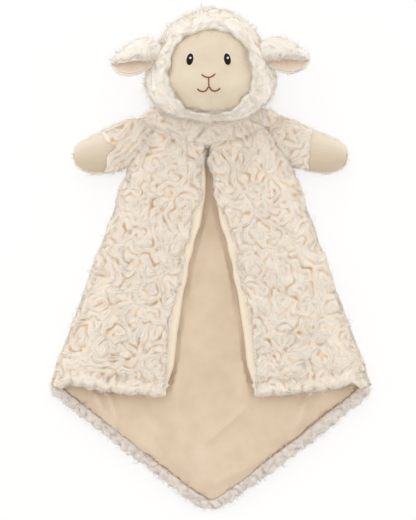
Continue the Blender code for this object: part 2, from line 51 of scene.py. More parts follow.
# Blanket outline and levels, as in the parts
neck_y = 0.128007
armpit_y = 0.084007
fold_y = -0.127993
front_y = -0.130993
closed_y = 0.108007
chest_y = 0.032007
neck_half_width = 0.050
armpit_half_width = 0.0756
fold_half_width = 0.1535
tip_drop = 0.1195
tip_round_share = 0.051
hem_border_drop = 0.01331
front_opening = 0.0427
lining_reveal = 0.0065
flap_loft = 0.003
flap_fold_depth = 0.0022
flap_edge_curl = 0.0042
slit_lean_most = 0.0028
slit_lean_y = 0.094
flap_side_y = fold_y + 0.011
hem_bow = 0.0034
back_pile = 0.009
back_lining_z = 0.0093
lining_thickness = 0.0016
fold_axis_z = 0.0112
front_lining_z = 0.0115
front_pile_z = 0.0134
front_top_z = 0.0224
opening_level_shares = (0.0, 0.20, 0.32, 0.43, 0.54, 0.63, 0.75, 0.88, 1.0)
opening_width_shares = (0.0, 0.10, 0.24, 0.42, 0.54, 0.63, 0.75, 0.83, 1.0)

# Head and face, as in the parts
head_y = 0.1848
head_z = 0.0435
head_half_width = 0.0590
head_half_height = 0.0538
head_half_depth = 0.0460
pear_share = 0.175
depth_share = 0.80
section_share = 2.2
face_y = 0.177407
face_half_width = 0.0404
face_half_height = 0.0406
face_sink = 0.0050
face_round_share = 0.85
muzzle_y = 0.161407
muzzle_half_width = 0.024
muzzle_half_height = 0.0175
muzzle_rise = 0.006
chin_seam_depth = 0.0005
chin_seam_width = 0.0009
face_dent_depth = 0.0011
face_pucker_depth = 0.0009
face_thickness = 0.0012

# Arms and ears, as in the parts
arm_root = np.array((0.066862, 0.10837))
arm_outward = np.array((0.864348, 0.502894))
arm_root_across = np.array((-0.502894, 0.864348))
arm_length = 0.0642
arm_sweep = 0.0100
shoulder_knuckle = 0.0050
arm_root_half_width = 0.0240
arm_root_half_thick = 0.0088
paw_across = np.array((0.15093, 0.98854))
paw_half_width = 0.0208
paw_half_thick = 0.0150
paw_middle_z = 0.0145
paw_swell_share = 0.60
cuff_share = 0.50
arm_section_share = 2.3
paw_end_share = 2.4
pad_inset = 0.0008
pad_under_inset = 0.0030
pad_bed_inset = 0.0036
pad_thickness = 0.0012
pad_pucker_depth = 0.0004
thinnest = 0.0002
ear_root = np.array((0.054451, 0.1935, 0.064))
ear_length = 0.0400
ear_half_width = 0.0188
ear_droop = 0.0120
ear_sweep = 0.0060
ear_lean_share = 0.30
ear_root_share = 0.20
ear_leaf_share = 0.60

# Pile: a square tile of curls that repeats
tile_size = 0.36
tile_steps = 640
curl_spacing = 0.0235
curl_wave = 0.0076
curl_warp = 0.0024
curl_depth = 0.0022
streak_depth = 0.00036
lump_depth = 0.0012
curl_scatter_share = 0.42
curl_longest_share = 1.45
curl_warp_grain = 0.016
curl_angle_grain = 0.0035
crease_sharpness = 2.9
# Height below which the creases get painted shade in their colour
crease_shade_level = 0.94
comb_steps = 11
fibre_grain = 0.0013


# Small tools

def unit(vectors):
    """The vectors of an array, at length 1."""
    return vectors / (np.linalg.norm(vectors, axis=-1, keepdims=True) + 1e-12)


def dot(first, second):
    """The products of two arrays of vectors, added up for each vector."""
    return (first * second).sum(axis=-1)


def bell(distance, width, power=2):
    """A bell curve, flatter on top for a higher power: 1 at no distance, 0.37 at one width."""
    return np.exp(-(distance / width) ** power)


def eased(share):
    """A share from 0 to 1 that starts and ends level."""
    return share * share * (3 - 2 * share)


def round_off(distance, radius):
    """The height share by a rounded edge: a quarter circle over its radius, then level."""
    near = np.clip(distance / radius, 0, 1)
    return np.sqrt(np.maximum(1 - (1 - near) ** 2, 0))


def ring_angles(count):
    """Evenly spaced angles once around."""
    return np.linspace(0, full_turn, count, endpoint=False)


# Pile pattern

def frequencies():
    """Waves per metre of each term in the tile's half spectrum."""
    step = tile_size / tile_steps
    return np.hypot(np.fft.fftfreq(tile_steps, step)[:, None], np.fft.rfftfreq(tile_steps, step)[None, :])


def blurred(tile, grain):
    """The tile with its waves shorter than grain damped by a bell curve."""
    return np.fft.irfft2(np.fft.rfft2(tile) * bell(frequencies() * grain, 1), s=tile.shape)


def soft_noise(rng, grain):
    """Repeating noise of unit spread whose lumps are about grain across."""
    tile = blurred(rng.standard_normal((tile_steps, tile_steps)), grain)
    return (tile - tile.mean()) / tile.std()


def spiral_waves(rng):
    """A wave that winds around scattered centres: the cosine of distance over wavelength plus angle.

    Each centre has its own oval, hand and start, and a point belongs to the nearest centre.
    """
    axis = np.arange(tile_steps) * tile_size / tile_steps
    x, y = np.meshgrid(axis, axis)
    x = x + curl_warp * soft_noise(rng, curl_warp_grain)
    y = y + curl_warp * soft_noise(rng, curl_warp_grain)
    cells = round(tile_size / curl_spacing)
    cell = tile_size / cells
    shift = rng.uniform(-curl_scatter_share, curl_scatter_share, (2, cells, cells))
    lean, start = rng.uniform(0, full_turn, (2, cells, cells))
    stretch = rng.uniform(1.0, curl_longest_share, (cells, cells))
    hand = rng.choice((-1.0, 1.0), (cells, cells))
    column, row = np.floor(x / cell).astype(int), np.floor(y / cell).astype(int)
    nearest = np.full(x.shape, np.inf)
    phase = np.zeros(x.shape)
    for down in range(-2, 3):
        for over in range(-2, 3):
            at = ((row + down) % cells, (column + over) % cells)
            away_x = x - (column + over + 0.5 + shift[0][at]) * cell
            away_y = y - (row + down + 0.5 + shift[1][at]) * cell
            c, s = np.cos(lean[at]), np.sin(lean[at])
            p = (away_x * c + away_y * s) / stretch[at]
            q = (away_y * c - away_x * s) * stretch[at]
            distance = np.hypot(p, q)
            wave = full_turn * distance / curl_wave + hand[at] * np.arctan2(q, p) + start[at]
            phase = np.where(distance < nearest, wave, phase)
            nearest = np.minimum(distance, nearest)
    return np.cos(phase)


def ridges(rng):
    """Even curls: the spiral waves joined up by keeping one wavelength and pressing them flat in turn."""
    band, contrast, top_share = 0.70, 1.6, 1.45
    tile = spiral_waves(rng) + 0.08 * soft_noise(rng, 0.004)
    tile = np.tanh(contrast * tile / tile.std())
    keep = bell(frequencies() * curl_wave - 1, band)
    tile = np.fft.irfft2(np.fft.rfft2(tile) * keep, s=tile.shape)
    spread = np.sqrt(blurred(tile ** 2, 0.012)) * top_share
    return np.clip(tile / spread, -1, 1)


def ridge_angles(tile):
    """The angle along the curls, a quarter turn from the mean direction in which the tile changes."""
    down, across = np.gradient(tile)
    xx, yy, xy = (blurred(v, curl_angle_grain) for v in (across ** 2, down ** 2, across * down))
    return 0.5 * np.arctan2(2 * xy, xx - yy) + quarter


def combed(rng, angles):
    """Fibre streaks: fine noise averaged along the curls, a number of samples each way."""
    noise = soft_noise(rng, fibre_grain)
    rows, columns = np.meshgrid(np.arange(tile_steps), np.arange(tile_steps), indexing="ij")
    total = noise.copy()
    for way in (1.0, -1.0):
        r, c = rows.astype(float), columns.astype(float)
        heading = (way * np.sin(angles), way * np.cos(angles))
        for _ in range(comb_steps):
            r, c = r + heading[0], c + heading[1]
            at = (np.rint(r).astype(int) % tile_steps, np.rint(c).astype(int) % tile_steps)
            total += noise[at]
            turn = angles[at]
            new = (np.sin(turn), np.cos(turn))
            sign = np.sign(new[0] * heading[0] + new[1] * heading[1] + 1e-9)
            heading = (new[0] * sign, new[1] * sign)
    return np.clip(total / total.std(), -2, 2)


pile_rng = np.random.default_rng(41)
curl_tile = ridges(pile_rng)
curl_strength = np.clip(0.50 + 0.26 * soft_noise(pile_rng, 0.011), 0.12, 1.15)
curl_height = 1 - ((1 - curl_tile) / 2) ** crease_sharpness * curl_strength
curl_angle = ridge_angles(curl_tile)
curl_streak = combed(pile_rng, curl_angle)
curl_lump = soft_noise(pile_rng, 0.026)
curl_tint = soft_noise(pile_rng, 0.012)


def sample(tile, u, v):
    """The repeating tile at u, v metres, straight between its four nearest steps."""
    c, r = u / tile_size * tile_steps, v / tile_size * tile_steps
    c0, r0 = np.floor(c).astype(int), np.floor(r).astype(int)
    fc, fr = c - c0, r - r0
    c0, r0 = c0 % tile_steps, r0 % tile_steps
    c1, r1 = (c0 + 1) % tile_steps, (r0 + 1) % tile_steps
    low = tile[r0, c0] * (1 - fc) + tile[r0, c1] * fc
    high = tile[r1, c0] * (1 - fc) + tile[r1, c1] * fc
    return low * (1 - fr) + high * fr


def nearest_sample(tile, u, v):
    """The repeating tile at the step nearest to u, v metres."""
    c = np.rint(u / tile_size * tile_steps).astype(int) % tile_steps
    r = np.rint(v / tile_size * tile_steps).astype(int) % tile_steps
    return tile[r, c]


def pile_at(points, normals, scale):
    """Height, streak, lump and tint of the pile, and the way its fibres lie, over a surface.

    The tile is laid on the three planes of the axes, each weighted by how squarely it is faced.
    """
    weight = np.abs(normals) ** 6 + 1e-9
    weight /= weight.sum(axis=-1, keepdims=True)
    totals = [0.0, 0.0, 0.0, 0.0]
    lie = np.zeros(points.shape)
    facing = weight.argmax(axis=-1)
    for axis, (a, b) in enumerate(((1, 2), (0, 2), (0, 1))):
        u = points[..., a] / scale + 0.131 * axis
        v = points[..., b] / scale + 0.077 * axis
        for n, tile in enumerate((curl_height, curl_streak, curl_lump, curl_tint)):
            totals[n] = totals[n] + weight[..., axis] * sample(tile, u, v)
        turn = nearest_sample(curl_angle, u, v)
        here = facing == axis
        lie[..., a] = np.where(here, np.cos(turn), lie[..., a])
        lie[..., b] = np.where(here, np.sin(turn), lie[..., b])
    return (*totals, unit(lie - normals * dot(lie, normals)[..., None]))


# Meshes

def stack(x, y, z):
    """Three arrays or numbers as one array of points."""
    return np.stack(np.broadcast_arrays(x, y, z), axis=-1).astype(float)


def mirrored(points, side):
    """The right half's points for the side -1 or 1."""
    return points * np.array((side, 1, 1))


def sheet_rings(x, y, high, low):
    """Rings around a thin sheet: over its upper face and back along its lower one."""
    return np.concatenate([stack(x, y, high), stack(x, y, low)[:, ::-1]], axis=1)


def there_and_back(values):
    """A value for each point of a sheet's upper face, repeated for its lower one."""
    return np.concatenate([values, values[:, ::-1]], axis=1)


def furred_mask(rings, furred):
    """1 on the columns of a cloth's rings that are furred, which come first, and 0 on the others."""
    mask = np.zeros(rings.shape[:2])
    mask[:, :furred] = 1
    return mask


def add_mesh(name, points, corners, sizes, body):
    """A mesh from points and faces, given as one row of corners and each face's size."""
    mesh = bpy.data.meshes.new(name)
    starts = np.concatenate([[0], np.cumsum(sizes)[:-1]])
    mesh.vertices.add(len(points))
    mesh.vertices.foreach_set("co", points.astype(np.float32).ravel())
    mesh.loops.add(len(corners))
    mesh.loops.foreach_set("vertex_index", corners.astype(np.int32))
    mesh.polygons.add(len(sizes))
    mesh.polygons.foreach_set("loop_start", starts.astype(np.int32))
    mesh.update(calc_edges=True)
    mesh.shade_smooth()
    piece = bpy.data.objects.new(name, mesh)
    bpy.context.collection.objects.link(piece)
    if body:
        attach(piece, body)
    return piece


def dress(piece, material):
    """The piece, with its material."""
    piece.data.materials.append(material)
    return piece


def grid_quads(rows, columns):
    """Corner numbers of a grid's quads, with the last column joined to the first."""
    grid = np.arange(rows * columns).reshape(rows, columns)
    grid = np.concatenate([grid, grid[:, :1]], axis=1)
    return np.stack([grid[:-1, :-1], grid[:-1, 1:], grid[1:, 1:], grid[1:, :-1]], axis=-1).reshape(-1, 4)


def volume(points, quads):
    """Six times the signed volume that the quads enclose, each split into two triangles."""
    a, b, c, d = (points[quads[:, n]] for n in range(4))
    return (np.cross(b - a, c - a) * a).sum() + (np.cross(c - a, d - a) * a).sum()


def cap_triangles(ring):
    """Triangles that close a ring, zipped between its two sides along the axis on which it is longest."""
    along = ring[:, np.ptp(ring, axis=0).argmax()]
    count = len(ring)
    a = b = int(along.argmin())
    end = int(along.argmax())
    faces = []
    while a != end or b != end:
        after_a, after_b = (a + 1) % count, (b - 1) % count
        if b == end or (a != end and along[after_a] <= along[after_b]):
            face, a = {a, after_a, b}, after_a
        else:
            face, b = {a, b, after_b}, after_b
        if len(face) == 3:
            faces.append(sorted(face))
    return np.array(faces)


def add_rings(name, rings, body):
    """A closed body lofted through rings of points, capped at both ends, with its faces outwards."""
    rows, columns = rings.shape[:2]
    points = rings.reshape(-1, 3)
    quads = grid_quads(rows, columns)
    caps = np.concatenate([cap_triangles(rings[0])[:, ::-1], cap_triangles(rings[-1]) + (rows - 1) * columns])
    if volume(points - points.mean(axis=0), quads) < 0:
        quads, caps = quads[:, ::-1], caps[:, ::-1]
    corners = np.concatenate([quads.ravel(), caps.ravel()])
    sizes = np.concatenate([np.full(len(quads), 4), np.full(len(caps), 3)])
    return add_mesh(name, points, corners, sizes, body)


def set_values(piece, name, values):
    """One number for each of a piece's points, for its material to read."""
    attribute = piece.data.attributes.new(name, "FLOAT", "POINT")
    attribute.data.foreach_set("value", np.asarray(values, np.float32).ravel())


def ring_slopes(rings):
    """How far the surface moves from one ring to the next, and from one point of a ring to the next."""
    down = np.gradient(rings, axis=0)
    over = (np.roll(rings, -1, axis=1) - np.roll(rings, 1, axis=1)) / 2
    return down, over


def ring_normals(rings, rounds):
    """Outward directions: the two slopes crossed, turned away from each ring's middle, and softened."""
    down, over = ring_slopes(rings)
    normals = unit(np.cross(over, down))
    middle = rings.mean(axis=1, keepdims=True)
    if ((rings - middle) * normals).sum() < 0:
        normals = -normals
    return unit(softened(normals, rounds))


def softened(values, times):
    """A grid's values averaged with their neighbours down the rows and around the rings."""
    for _ in range(times):
        values = (np.roll(values, 1, axis=1) + 2 * values + np.roll(values, -1, axis=1)) / 4
        padded = np.concatenate([values[:1], values, values[-1:]])
        values = (padded[:-2] + 2 * padded[1:-1] + padded[2:]) / 4
    return values


class Pile:
    """A furred surface: its rings, their normals, how the fibres lie, and where there is pile."""

    def __init__(self, rings, mask, depth=curl_depth, lump=lump_depth, scale=1.0):
        """Each point moves along its normal by the curls' depth below 1, the streaks and the lumps."""
        normals = ring_normals(rings, 2)
        height, streak, lumps, tint, self.lie = pile_at(rings, normals, scale)
        push = depth * (height - 1) + streak_depth * streak * depth / curl_depth + lump * lumps
        self.rings = rings + normals * (push * mask)[..., None]
        self.rings[..., 2] = np.maximum(self.rings[..., 2], 0)
        self.mask = mask
        self.normals = ring_normals(self.rings, 1)
        # Painted shade: the creases below a height, and the darkest streaks, are given a warm tan colour that
        # stands in for the shade falling in them.
        painted_shade = np.clip((crease_shade_level - height) / crease_shade_level, 0, 1) ** 1.1 * min(depth / curl_depth, 1)
        painted_shade = painted_shade + 0.10 * np.clip(-streak - 0.6, 0, 1)
        self.crease_shade = np.clip(painted_shade * (0.85 + 0.30 * tint), 0, 1) * mask
        self.comb = np.clip(0.5 + 0.25 * streak, 0, 1)

    def add(self, name, body, material):
        """The furred surface as a closed piece."""
        piece = add_rings(name, self.rings, body)
        set_values(piece, "crease_shade", self.crease_shade)
        set_values(piece, "comb", self.comb)
        return dress(piece, material)


spine_heights = (-0.5, 0.8, 1.3)
longest_step = 6
lock_length_share = 1.6
lock_thick_share = 4.5
strand_crease_shade_share = 0.55
strand_corners = 7


def strand_spines(pile, r, c, heading, sway, reach, tall):
    """Three points of each fibre on the pile, from its row r and column c, and the ways up there.

    Each next point is one reach further along the lie and a little higher above the surface; the
    first is sunk in it. The surface's two slopes turn a reach in metres into rows and columns.
    """
    rows, columns = pile.mask.shape
    down, over = ring_slopes(pile.rings)
    spine, ups = [], []
    for height in spine_heights:
        at = (np.clip(np.rint(r).astype(int), 1, rows - 2), np.rint(c).astype(int) % columns)
        normal, d, o = pile.normals[at], down[at], over[at]
        spine.append(pile.rings[at] + normal * (tall * height)[:, None]
                     + d * (np.clip(r, 1, rows - 2) - at[0])[:, None] + o * (c - np.rint(c))[:, None])
        ups.append(normal)
        way = pile.lie[at]
        way = way * np.sign(dot(way, heading) + 1e-9)[:, None]
        heading = unit(way + sway * np.cross(normal, way))
        dd, oo, do = dot(d, d), dot(o, o), dot(d, o)
        hd, ho = dot(heading, d), dot(heading, o)
        share = np.maximum(dd * oo - do ** 2, 1e-16)
        r = r + np.clip(reach * (hd * oo - ho * do) / share, -longest_step, longest_step)
        c = c + np.clip(reach * (ho * dd - hd * do) / share, -longest_step, longest_step)
    return np.stack(spine, axis=1), np.stack(ups, axis=1)


def add_strands(name, pile, count, seed, body, length=0.0056, lift=0.0006, thick=0.0001, mask=None,
                locks=1 / 16, material=None):
    """Fibres that follow the curls: each is a three-sided taper through three points on the pile.

    A fibre starts anywhere on the masked area. A share are locks, longer and thicker. The fibres
    are cream unless another material is given.
    """
    rng = np.random.default_rng(seed)
    columns = pile.mask.shape[1]
    area = np.linalg.norm(np.cross(*ring_slopes(pile.rings)), axis=-1)
    weight = np.cumsum((area * (pile.mask if mask is None else mask)).ravel())
    start = np.searchsorted(weight, rng.random(count) * weight[-1])
    r = start // columns + rng.random(count) - 0.5
    c = start % columns + rng.random(count) - 0.5
    heading = rng.choice((-1.0, 1.0), count)[:, None] * pile.lie.reshape(-1, 3)[start]
    sway = rng.normal(0, 0.22, (count, 1))
    lock = rng.random(count) < locks
    reach = length * rng.uniform(0.6, 1.25, count) * np.where(lock, lock_length_share, 1) / 2
    tall = lift * (rng.uniform(0.2, 1.2, count) + 2.5 * (rng.random(count) > 0.80))
    spine, ups = strand_spines(pile, r, c, heading, sway, reach, tall)
    side = unit(np.cross(np.gradient(spine, axis=1), ups))
    turn = np.array((quarter, quarter + full_turn / 3, quarter - full_turn / 3))
    radius = thick * np.array((1.0, 0.8))[None, :, None, None] * rng.uniform(0.7, 1.2, (count, 1, 1, 1))
    radius = radius * np.where(lock, lock_thick_share, 1)[:, None, None, None]
    ring = side[:, :2, None] * np.cos(turn)[:, None] + ups[:, :2, None] * np.sin(turn)[:, None]
    pair = spine[:, :2, None] + ring * radius
    points = np.concatenate([pair.reshape(count, -1, 3), spine[:, 2:]], axis=1).reshape(-1, 3)
    points[:, 2] = np.maximum(points[:, 2], 0)
    root, tips = [2, 1, 0], [3, 4, 6, 4, 5, 6, 5, 3, 6]
    one = np.concatenate([root, grid_quads(2, 3).ravel(), tips])
    corners = (one[None, :] + strand_corners * np.arange(count)[:, None]).ravel()
    sizes = np.tile(np.array([3] + [4] * 3 + [3] * 3), count)
    piece = add_mesh(name, points, corners, sizes, body)
    # Painted shade: each fibre takes a share of the crease shade painted at its root.
    crease_shade = pile.crease_shade.reshape(-1)[start] * strand_crease_shade_share
    set_values(piece, "crease_shade", np.repeat(crease_shade, strand_corners))
    set_values(piece, "tone", np.repeat(rng.random(count), strand_corners))
    return dress(piece, material or fibre)


# Blanket

def side_x(y):
    """The blanket's half width at y: from the neck out to the armpit, then out along the fold."""
    return np.interp(y, (fold_y, armpit_y, neck_y), (fold_half_width, armpit_half_width, neck_half_width))


def opening_x(y):
    """How far a flap's lining edge stands from the middle line at y."""
    levels = closed_y - np.array(opening_level_shares) * (closed_y - front_y)
    return np.interp(-y, -levels, np.array(opening_width_shares) * front_opening + 0.00015)


def slit_lean(level, side):
    """How far the top of the slit leans to the left at a level, as a shift of one half's free edge."""
    return side * slit_lean_most * bell(level - slit_lean_y, 0.016)


def flap_lift(x, y):
    """How far a flap stands clear of the back: a soft loft, two shallow folds, a curled-up edge."""
    down = np.clip((chest_y - y) / (chest_y - front_y), 0, 1)
    edge_x = opening_x(y)
    across = np.clip((x - edge_x) / (side_x(y) - edge_x), 0, 1)
    curl = flap_edge_curl * np.clip((closed_y - y) / 0.05, 0, 1) * bell(across, 0.16)
    folds = flap_fold_depth * np.sin(full_turn * across) ** 2
    return curl + down * (flap_loft * np.sin(math.pi * across) + folds)


fold_out = np.array((0.938638, 0.344905))
fold_bulge = 0.0030
fold_start = 0.0045
fold_down = np.array((0.344905, -0.938638))
front_rows = 415
front_columns = 174
front_edge_radius = 0.0048
front_end_radius = 0.0060
corner_drop = 0.0060
lining_corner_drop = 0.0045
tuft_width = 0.0055
tuft_hang = 0.0022
tuft_rise = 0.0018
hem_rise = 0.0012
hem_seam_height = 0.0115
hem_seam_depth = 0.0022
lining_edge_radius = 0.0018
lining_puff = 0.0060
edge_notch_depth = 0.0016
edge_notch_y = 0.096
edge_ragged_depth = 0.0004
# For each side, two levels along the free edge, and how much of the lining's roll shows at them
reveal_shares = {-1: ((0.060, 0.105), (1, 0.35)), 1: ((0.020, 0.080), (1, 0))}


def front_plan(t, s, inner_x, outer_x, level_in, level_out):
    """Points between a front's two sides: straight across, with a hem that bows down."""
    x = inner_x[:, None] + (outer_x - inner_x)[:, None] * s
    y = level_in[:, None] + (level_out - level_in)[:, None] * s
    return x, y - hem_bow * np.sin(math.pi * s) * t[:, None] ** 3


def outer_corner(t, s):
    """How near a front's point is to the outer end of its hem, from 0 to 1."""
    return bell(1 - s, 0.05) * t[:, None] ** 8


def pile_edge_x(level, side):
    """The free edge of a front's pile: drawn back where the lining's roll shows, and ragged."""
    reveal = np.interp(level, *reveal_shares[side])
    reveal = reveal * np.interp(level, (front_y + 0.006, front_y + 0.036), (0.1, 1))
    notch = edge_notch_depth * bell(level - edge_notch_y, 0.012)
    waves = np.sin(level / 0.0031 + side) + np.sin(level / 0.0053) + np.sin(level / 0.0017)
    edge_x = opening_x(level) + lining_reveal * reveal + notch - slit_lean(level, side)
    return edge_x + edge_ragged_depth * waves


def hem_tufts(x, above_hem, side):
    """How far the tufts along a front's hem hang down, and how far they rise over the seam's dip."""
    tuft = np.abs(np.sin(x / tuft_width + 1.6 * np.sin(x / 0.017 + side))) ** 0.7
    hang = (tuft_hang * tuft - 0.0006) * bell(above_hem, 0.008)
    uneven = 0.5 + 0.5 * np.sin(x / 0.0085 + 2 * np.sin(x / 0.019))
    dip = hem_seam_depth * uneven * bell(above_hem - hem_seam_height - 0.002 * uneven, 0.0030)
    return hang, (hem_rise + tuft_rise * tuft) * bell(above_hem - 0.0055, 0.0045) - dip


def front_rings(side):
    """A front's pile cloth, drawn as the right one: rings around its section, from the neck to the hem.

    A section runs over the top from the free edge, around the side fold by a quarter oval, and back
    underneath. With the rings comes the number of their columns that are furred.
    """
    even = np.linspace(0, 1, front_rows)
    t = 0.25 * (1 - np.cos(math.pi * even)) / 2 + 0.75 * even
    level_in = neck_y + (front_y - neck_y) * t
    level_out = neck_y + (flap_side_y - neck_y) * t
    inner_x = pile_edge_x(level_in, side)
    s = np.linspace(0, 1, front_columns)
    s = np.concatenate([np.linspace(0, s[3], 7)[:-1], s[3:]])[None, :]
    x, y = front_plan(t, s, inner_x, side_x(level_out) - fold_start, level_in, level_out)
    end = round_off(np.minimum(np.abs(level_in - front_y), neck_y - level_in), front_end_radius)
    end = np.maximum(end, 0.04)[:, None]
    edge = 0.40 + 0.60 * round_off(x - inner_x[:, None], front_edge_radius)
    base = front_pile_z + flap_lift(x, y)
    hang, rise = hem_tufts(x, y - y[-1:], side)
    y = y - hang - corner_drop * outer_corner(t, s)
    over = stack(x, y, base + (front_top_z - front_pile_z) * edge * end + rise)
    angle = np.linspace(quarter, -0.10, 13)[None, 1:]
    reach = (fold_start + fold_bulge) * np.cos(angle)
    roll = stack(x[:, -1:] + fold_out[0] * reach, y[:, -1:] + fold_out[1] * reach,
                 fold_axis_z + (front_top_z - fold_axis_z) * np.sin(angle) * end)
    under = over[:, ::-14].copy()
    under[..., 2] = base[:, ::-14]
    under = np.concatenate([under, over[:, :1] * np.array((1, 1, 0)) + stack(0, 0, base[:, :1])], axis=1)
    return np.concatenate([over, roll, under], axis=1), over.shape[1] + roll.shape[1]


def add_front(label, side, plush, velour):
    """One front half: its pile cloth with fibres, and its lining with a puffed free edge."""
    rings, furred = front_rings(side)
    mask = furred_mask(rings, furred)
    mask[:, 0] = 0.4
    mask *= 1 - 0.55 * bell(rings[..., 1] - rings[-1:, :, 1], 0.0085, power=4)
    pile = Pile(mirrored(rings, side), mask)
    edge = np.zeros(rings.shape[:2])
    edge[:, 1:9] = 1.4
    edge[:, furred - 16:furred - 4] = 0.8
    edge[-9:-1, 1:furred - 4] = 0.7
    inner = mask.copy()
    inner[:, furred - 40:] *= 0.3
    cloth = pile.add(f"front_{label}_plush", None, plush)
    fibres = [
        add_strands(f"front_{label}_fibres", pile, count=6000, seed=11 + side, body=None, thick=0.00011,
                    mask=inner),
        add_strands(f"front_{label}_edge_fibres", pile, count=2600, seed=15 + side, body=None,
                    lift=0.0013, mask=edge, locks=0.16),
    ]
    lining_rings, pale = front_lining_rings(side)
    lining = dress(add_rings(f"front_{label}_lining", mirrored(lining_rings, side), None), velour)
    # Painted light: the pale value makes the lining's rolled free edge look lit.
    set_values(lining, "pale", pale)
    hinge = stack(side * armpit_half_width, armpit_y, fold_axis_z)
    down = stack(side * fold_down[0], fold_down[1], 0)
    for piece in (cloth, *fibres, lining):
        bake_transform(piece)
    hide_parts(f"chest_{label}_plush", f"flap_{label}_plush")
    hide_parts(f"chest_{label}_lining", f"flap_{label}_lining")


def front_lining_rings(side):
    """A front's lining, drawn as the right one: a thin level sheet with a soft roll as its free edge,
    and how pale its painted light makes it, which is most at the roll."""
    rows, columns = 190, 56
    t = np.linspace(0, 1, rows)
    neck_level, hem_inset = neck_y - 0.001, 0.0035
    level_in = neck_level + (front_y + hem_inset - neck_y) * t
    level_out = neck_level + (flap_side_y + hem_inset - neck_y) * t
    inner_x = opening_x(level_in) - slit_lean(level_in, side)
    inner_x = inner_x + 0.006 * np.clip(1 - (level_in - front_y - hem_inset) / 0.012, 0, 1) ** 2
    s = np.linspace(0, 1, columns) ** 2
    x, y = front_plan(t, s, inner_x, side_x(level_out) + 0.0002, level_in, level_out)
    y = y - lining_corner_drop * outer_corner(t, s)
    low = front_lining_z + flap_lift(x, y)
    away = x - inner_x[:, None]
    wave = 0.0006 * np.sin(y / 0.0071 + 3 * np.sin(y / 0.023)) * np.exp(-away / 0.004)
    show = np.clip((closed_y - level_in) / 0.010, 0, 1)[:, None]
    puff = show * lining_puff * round_off(away + 0.0001, 0.0026) * np.clip((0.0130 - away) / 0.004, 0, 1)
    high = low + (lining_thickness + puff) * round_off(away + 0.0002, lining_edge_radius)
    x = x - wave * show
    # Painted light: paler towards the rolled free edge, as if lit there.
    pale = bell(away, 0.0095, power=4)
    return sheet_rings(x, y, high, low), there_and_back(pale)


def fall(across):
    """The blanket's fall towards its tip: 1 in the middle, 0 at the sides, straight but for a round tip."""
    return 1 - np.hypot(across, tip_round_share) / math.hypot(1, tip_round_share)


def back_rings():
    """The back's pile cloth: rings around its section from the neck to the middle of the hem roll, and
    the number of their columns that are furred."""
    rows, columns = 275, 230
    t = np.linspace(0, 1, rows)
    end_y = fold_y + hem_border_drop * 0.35
    levels = neck_y + (end_y - neck_y) * t
    sag = tip_drop * (t ** 2)[:, None]
    half = (side_x(levels) - fold_start)[:, None]
    end = np.maximum(round_off(neck_y - levels, 0.005), 0.05)[:, None]
    middle = back_pile / 2
    across = np.linspace(-1, 1, columns)[None, :]
    y = levels[:, None] - sag * fall(across)
    under = stack(across * half, y, middle - middle * end)
    angle = np.linspace(0, quarter + 0.25, 11)[None, 1:]
    reach = (fold_start + fold_bulge) * np.sin(angle)
    rise = fold_axis_z * (1 - np.cos(angle))
    right = stack(half + fold_out[0] * reach, y[:, -1:] + fold_out[1] * reach, middle + (rise - middle) * end)
    left = mirrored(right, -1)[:, ::-1]
    back_across = np.linspace(1, -1, 17)[None, :]
    over = stack(back_across * half, levels[:, None] - sag * fall(back_across), middle + middle * end)
    furred = left.shape[1] + under.shape[1] + right.shape[1]
    return np.concatenate([left, under, right, over], axis=1), furred


hem_half_width = 0.0064
hem_half_height = 0.0060
hem_middle_z = 0.0066
hem_tip_rise = 0.0030
scallop_lengths = (0.008, 0.017)


def hem_rings():
    """The fur roll along the blanket's point: ovals along the middle of the border, lumped like scallops."""
    rows, columns = 600, 44
    a = np.linspace(-1, 1, rows)
    seam_y = fold_y + hem_border_drop
    outer = stack(a * side_x(fold_y), fold_y - tip_drop * fall(a), 0)
    inner = stack(a * side_x(seam_y), seam_y - tip_drop * fall(a), 0)
    middle = (outer + inner) / 2
    out = np.cross(unit(np.gradient(middle, axis=0)), np.array((0, 0, 1)))
    length = np.cumsum(np.linalg.norm(np.gradient(middle, axis=0), axis=1))
    knots = np.cumsum(np.random.default_rng(5).uniform(*scallop_lengths, 60))
    number = np.interp(length, np.concatenate([[0], knots]), np.arange(61))
    angle = ring_angles(columns)
    outside = np.clip(0.35 + np.cos(angle), 0, 1)
    scallop = 1 + outside * (0.34 * np.abs(np.sin(math.pi * number)) ** 0.7 - 0.20)[:, None]
    taper = np.maximum(round_off((1 - np.abs(a)) * fold_half_width, 0.006), 0.15)
    full = bell(a - 0.62, 0.26)
    middle = middle + out * (0.0018 * full)[:, None]
    size = scallop * (taper * (1 + 0.22 * full))[:, None]
    reach = hem_half_width * size * np.cos(angle)
    raised = hem_middle_z + hem_tip_rise * bell(1 - np.abs(a), 0.03)
    height = raised[:, None] + hem_half_height * size * np.sin(angle)
    return middle[:, None] + out[:, None] * reach[..., None] + stack(0, 0, height)


# Folds of the back's lining: x and y of the start and the end, width, height
lining_folds = (
    (-0.0034, -0.1758, 0.0319, -0.1445, 0.0038, 0.0019),
    (0.0120, -0.2126, 0.0590, -0.1896, 0.0048, 0.0024),
    (-0.1090, -0.1310, -0.1020, -0.1500, 0.0042, 0.0022),
    (-0.0960, -0.1320, -0.0900, -0.1560, 0.0036, 0.0018),
    (-0.0400, -0.0900, -0.0250, -0.1850, 0.0100, 0.0022),
    (0.0420, -0.0600, 0.0300, -0.1500, 0.0110, 0.0020),
    (0.0900, -0.1380, 0.0820, -0.1640, 0.0048, 0.0020),
    (-0.0600, -0.1500, -0.0300, -0.2000, 0.0065, 0.0020),
)


